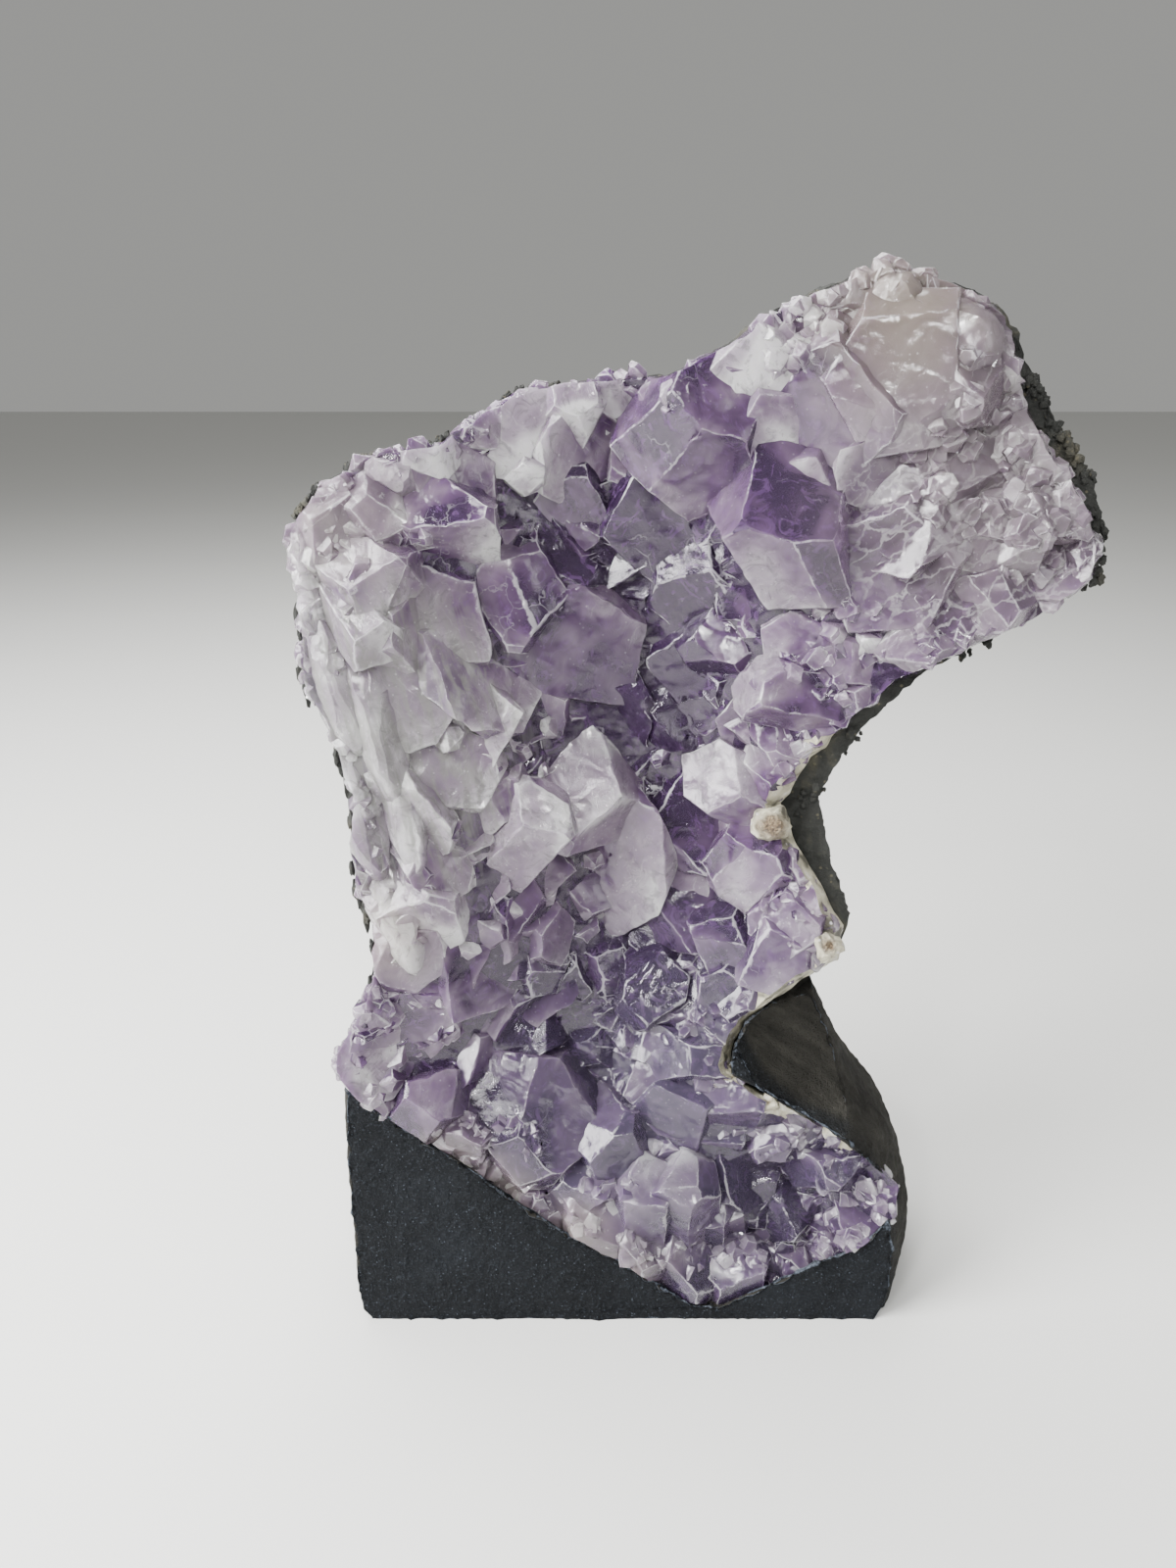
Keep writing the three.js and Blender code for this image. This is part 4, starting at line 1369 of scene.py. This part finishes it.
class GEODE_OT_crystals(Operator):
    """Grow the crust of crystals on its bed"""

    bl_idname = "geode.crystals"
    bl_label = "Crystals"

    # How near to a chipped edge a corner beside one counts, and the same on a face with no other corners
    BESIDE_EDGE = 0.78
    ALL_BESIDE_EDGE = 0.45

    def execute(self, context):
        settings = context.scene.geode_crystals
        chip = settings.chip_width / MM
        grower = CrystalGrower(settings.seed)
        crust = slab("crystals", 1, BED_THICKNESS, 2)
        grower.start_group("large crystals")
        grow_large(grower, chip)
        grow_lumps(grower)
        grower.join_to(crust)
        grower.start_group("gap crystals")
        grow_gaps(grower, chip, crust)
        grower.join_to(crust)
        room = slab("room", 0, CRUST_ROOM, 0, ragged=1.6)
        combine(crust, "INTERSECT", room)
        bpy.data.meshes.remove(room.data)
        surface = BVHTree.FromObject(crust, context.evaluated_depsgraph_get())
        grower.start_group("small crystals")
        grow_patches(grower, 0.5 * chip, surface)
        grow_rim(grower, 0.5 * chip, surface)
        for x, z, radius, _ in NODULES:
            grow_nodule(grower, x, z, radius, surface)
        grower.join_to(crust)
        self.finish(crust, grower, settings)
        return {"FINISHED"}

    def finish(self, crust, grower, settings):
        bm = bmesh.new()
        bm.from_mesh(crust.data)
        bmesh.ops.dissolve_degenerate(bm, dist=0.01, edges=list(bm.edges))
        split_long_edges(bm, settings.longest_edge / MM)
        bm.normal_update()
        self.roughen(bm, settings.seed)
        mark_creases(bm, CRYSTAL_CREASE)
        facts = self.facts(bm, grower)
        scale_all(bm, MM)
        crust.data.materials.clear()
        bm.to_mesh(crust.data)
        bm.free()
        colours = crust.data.color_attributes.new("crystal", "FLOAT_COLOR", "CORNER")
        colours.data.foreach_set("color", facts)
        crust.data.materials.append(amethyst_material(settings))
        crust.data.materials.append(agate_material(settings))
        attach(crust, "root")
        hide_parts("crystal_crust")

    def roughen(self, bm, seed):
        """Gives the faces and edges of the crystals their slight unevenness."""
        # A seed of 0 would be the time of day.
        noise.seed_set(seed + 1)
        for vert in bm.verts:
            at = vert.co
            shift = noise.noise_vector(at / 7) + 0.7 * noise.noise_vector(at / 2.8)
            vert.co += shift - 0.7 * shift.dot(vert.normal) * vert.normal
            vert.co.z = max(vert.co.z, LOWEST_CRUST)

    def facts(self, bm, grower):
        """For each face corner: tint, place along the crystal, facet and closeness to a chipped edge."""
        source = bm.faces.layers.int["source"]
        facet = bm.faces.layers.float["facet"]
        edge = bm.faces.layers.int["edge"]
        brown = bm.verts.layers.float.new("brown")
        bm.faces.index_update()
        edge_verts = {vert for face in bm.faces if face[edge] for vert in face.verts}
        facts = []
        for face in bm.faces:
            centre = face.calc_center_median()
            x, z = seen_at(centre)
            face.material_index = self.is_agate(face[source], centre)
            if face[source] < 0:
                # Painted shade: the bed, where it shows in the gaps between the crystals, takes a deeper
                # tint than the crystals round it
                root, axis, length, tint = centre, Vector((0, 1, 0)), 1, tint_near(x, z) + 0.45
            else:
                root, axis, length, tint = grower.grown[face[source]]
            all_beside = all(vert in edge_verts for vert in face.verts)
            beside = self.ALL_BESIDE_EDGE if all_beside else self.BESIDE_EDGE
            for corner in face.loops:
                along = (corner.vert.co - root).dot(axis) / length
                near_edge = 1 if face[edge] else beside * (corner.vert in edge_verts)
                facts.extend((tint, min(max(along, 0), 1), face[facet], near_edge))
            if face.material_index:
                for vert in face.verts:
                    vert[brown] = self.brownness(vert.co)
        return facts

    def is_agate(self, source, centre):
        """Whether a face is agate: a nodule, or the worn rim of the right edge."""
        if source == NODULE:
            return True
        low, high = AGATE
        if source != BED or centre.x < 0 or not low < centre.z < high:
            return False
        x, z = seen_at(centre)
        return from_right_rim(x, z) < 5 + 3 * noise.noise(Vector((x / 3, z / 3, 5)))

    def brownness(self, point):
        """1 in the middle of a nodule, falling to 0 at its cream ring."""
        x, z = seen_at(point)
        most = 0
        for at_x, at_z, radius, share in NODULES:
            ragged = 0.6 * noise.noise(Vector((x, z, 2)) / 2.2)
            most = max(most, 1 - math.hypot(x - at_x, z - at_z) / radius / max(share, 0.01) + ragged)
        return min(max(2.5 * most, 0), 1)


def refined_copy(node_name, longest, bevel):
    """A copy of a frame node's mesh in millimetres, merged, with worn edges and small faces."""
    bm = bmesh.new()
    bm.from_mesh(frame["nodes"][node_name].data)
    scale_all(bm, 1 / MM)
    bmesh.ops.remove_doubles(bm, verts=list(bm.verts), dist=0.01)
    bmesh.ops.dissolve_limit(bm, angle_limit=math.radians(2), verts=list(bm.verts), edges=list(bm.edges))
    strip = bm.faces.layers.int.new("strip")
    if bevel:
        sharp = [e for e in bm.edges if len(e.link_faces) == 2 and e.calc_face_angle() > math.radians(45)]
        for face in bevel_edges(bm, sharp, bevel, 2):
            face[strip] = 1
    split_long_edges(bm, longest, passes=6)
    bm.normal_update()
    return bm


def add_crumb(bm, at, size, tall, seed):
    """A rough crumb of rock, or a sliver where it is tall."""
    crumb = bmesh.new()
    bmesh.ops.create_icosphere(crumb, subdivisions=2, radius=size, matrix=Matrix.Translation(at))
    for vert in crumb.verts:
        away = vert.co - at
        place = away / size + Vector((seed, 0, 0))
        vert.co += away * (0.55 * noise.noise(place * 1.1) + 0.35 * noise.noise(place * 2.9))
        vert.co.z += (vert.co.z - at.z) * (tall - 1)
    mesh = bpy.data.meshes.new("crumb")
    crumb.to_mesh(mesh)
    crumb.free()
    bm.from_mesh(mesh)
    bpy.data.meshes.remove(mesh)


def crumbs_on_rim(bm, seed):
    """Crumbs of rind that cling to the rim."""
    draw = random.Random(seed)
    for low, high, side, count, inset, tall in CRUMBS:
        for _ in range(count):
            place = draw.uniform(low, high)
            row = row_at(place)
            patchy = noise.noise(Vector((place * 31, side, 4)))
            if patchy < -0.05:
                continue
            at = across_row(row, side, inset, inset + row[4] * draw.random() + draw.uniform(-0.4, 0.8))
            depth = bed_depth(at.x, at.y) + draw.uniform(-1, 5)
            stretch = draw.uniform(1, tall)
            size = draw.uniform(0.5, 1.2)
            add_crumb(bm, behind_face(at.x, at.y, depth), size, stretch, draw.uniform(0, 99))


class GEODE_OT_rind(Operator):
    """Roughen the broken rock behind the crust"""

    bl_idname = "geode.rind"
    bl_label = "Rind"

    def execute(self, context):
        settings = context.scene.geode_rind
        relief = settings.relief / MM
        bm = refined_copy("basalt_rind", RIND_EDGE, 0)
        for vert in bm.verts:
            behind = min(max(vert.normal.y + 0.6, 0), 1)
            at = vert.co
            lumps = noise.noise(at / 11) + 0.5 * noise.noise(at / 4.5) + 0.3 * noise.noise(at / 2)
            rough = 0.55 * noise.noise(at / 2.1) + 0.4 * noise.noise(at / 0.9)
            vert.co += vert.normal * relief * (lumps * behind + rough)
        crumbs_on_rim(bm, settings.seed)
        mark_creases(bm, RIND_CREASE)
        scale_all(bm, MM)
        rind = new_object("rind", bm)
        rind.data.materials.append(basalt_material(settings))
        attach(rind, "root")
        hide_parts("basalt_rind")
        return {"FINISHED"}


class GEODE_OT_foot(Operator):
    """Finish the cast foot with worn edges and a sandy coat"""

    bl_idname = "geode.foot"
    bl_label = "Foot"

    def execute(self, context):
        settings = context.scene.geode_foot
        bm = refined_copy("cast_foot", FOOT_EDGE, settings.edge / MM)
        flank = bm.verts.layers.float.new("flank")
        worn = bm.verts.layers.float.new("worn")
        strip = bm.faces.layers.int["strip"]
        for face in bm.faces:
            if face[strip]:
                for vert in face.verts:
                    vert[worn] = 1
        for vert in bm.verts:
            at = vert.co
            behind_front = at.y - FACE_FRONT - FACE_LEAN * at.z
            vert[flank] = min(max(2.5 * vert.normal.y + 1.6, (behind_front - 3) / 3, 0), 1)
            pits = 0.35 * noise.noise(at / 5) + 0.45 * noise.noise(at / 1.8) + 0.6 * noise.noise(at / 22)
            crumbled = vert[worn] * (1.9 * noise.noise(at / 2.6 + Vector((9, 0, 0))) - 0.4)
            move = vert.normal * (pits + crumbled)
            if at.z < ON_GROUND:
                move.z = 0
            vert.co += move
            vert.co.z = max(vert.co.z, 0)
        mark_creases(bm, FOOT_CREASE)
        scale_all(bm, MM)
        foot = new_object("foot", bm)
        foot.data.materials.append(coat_material(settings))
        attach(foot, "root")
        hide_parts("cast_foot")
        return {"FINISHED"}


def area_light(name, at, size, power):
    """A soft light that points at the middle of the stone."""
    light = bpy.data.lights.new(name, "AREA")
    light.shape = "RECTANGLE"
    light.size, light.size_y = size
    light.energy = power
    lamp = bpy.data.objects.new(name, light)
    lamp.location = at
    lamp.rotation_mode = "QUATERNION"
    lamp.rotation_quaternion = (Vector(LIT_PLACE) - Vector(at)).to_track_quat("-Z", "Y")
    bpy.context.scene.collection.objects.link(lamp)
    return lamp


class GEODE_OT_stage(Operator):
    """Set the floor, the soft light and the camera"""

    bl_idname = "geode.stage"
    bl_label = "Stage"

    def execute(self, context):
        settings = context.scene.geode_stage
        scene = context.scene
        bm = bmesh.new()
        bmesh.ops.create_grid(bm, x_segments=1, y_segments=1, size=FLOOR_HALF_WIDTH)
        floor = new_object("floor", bm)
        material, _, shader = new_material("floor")
        shader.inputs["Base Color"].default_value = (*settings.floor, 1)
        shader.inputs["Roughness"].default_value = 0.75
        floor.data.materials.append(material)
        lamps = [area_light(name, at, size, getattr(settings, power)) for name, at, size, power in LAMPS]
        world = bpy.data.worlds.new("studio")
        world.use_nodes = True
        background = world.node_tree.nodes["Background"]
        background.inputs["Color"].default_value = (*settings.floor, 1)
        background.inputs["Strength"].default_value = settings.surroundings
        scene.world = world
        camera = bpy.data.cameras.new("camera")
        camera.lens = 27
        camera.sensor_width = 36
        holder = bpy.data.objects.new("camera", camera)
        holder.location = VIEWPOINT * MM
        holder.rotation_euler = (math.radians(90 - CAMERA_TILT), 0, 0)
        scene.collection.objects.link(holder)
        scene.camera = holder
        return {"FINISHED"}


class GEODE_PT_builder(Panel):
    """The geode's pieces in the sidebar of the 3D view"""

    bl_label = "Geode"
    bl_idname = "GEODE_PT_builder"
    bl_space_type = "VIEW_3D"
    bl_region_type = "UI"
    bl_category = "Geode"

    def draw(self, context):
        for operator, group, settings in BUILD_ORDER:
            box = self.layout.box()
            box.operator(operator.bl_idname)
            for name in group.__annotations__:
                box.prop(getattr(context.scene, settings), name)


# The operator of each piece, its settings, and what the scene calls them
BUILD_ORDER = [
    (GEODE_OT_crystals, GeodeCrystals, "geode_crystals"),
    (GEODE_OT_rind, GeodeRind, "geode_rind"),
    (GEODE_OT_foot, GeodeFoot, "geode_foot"),
    (GEODE_OT_stage, GeodeStage, "geode_stage"),
]


def register():
    for operator, group, settings in BUILD_ORDER:
        bpy.utils.register_class(group)
        setattr(bpy.types.Scene, settings, PointerProperty(type=group))
        bpy.utils.register_class(operator)
    bpy.utils.register_class(GEODE_PT_builder)


def unregister():
    bpy.utils.unregister_class(GEODE_PT_builder)
    for operator, group, settings in reversed(BUILD_ORDER):
        bpy.utils.unregister_class(operator)
        delattr(bpy.types.Scene, settings)
        bpy.utils.unregister_class(group)


def main():
    register()
    bpy.ops.geode.crystals()
    bpy.ops.geode.rind()
    bpy.ops.geode.foot()
    bpy.ops.geode.stage()


if __name__ == "__main__":
    main()
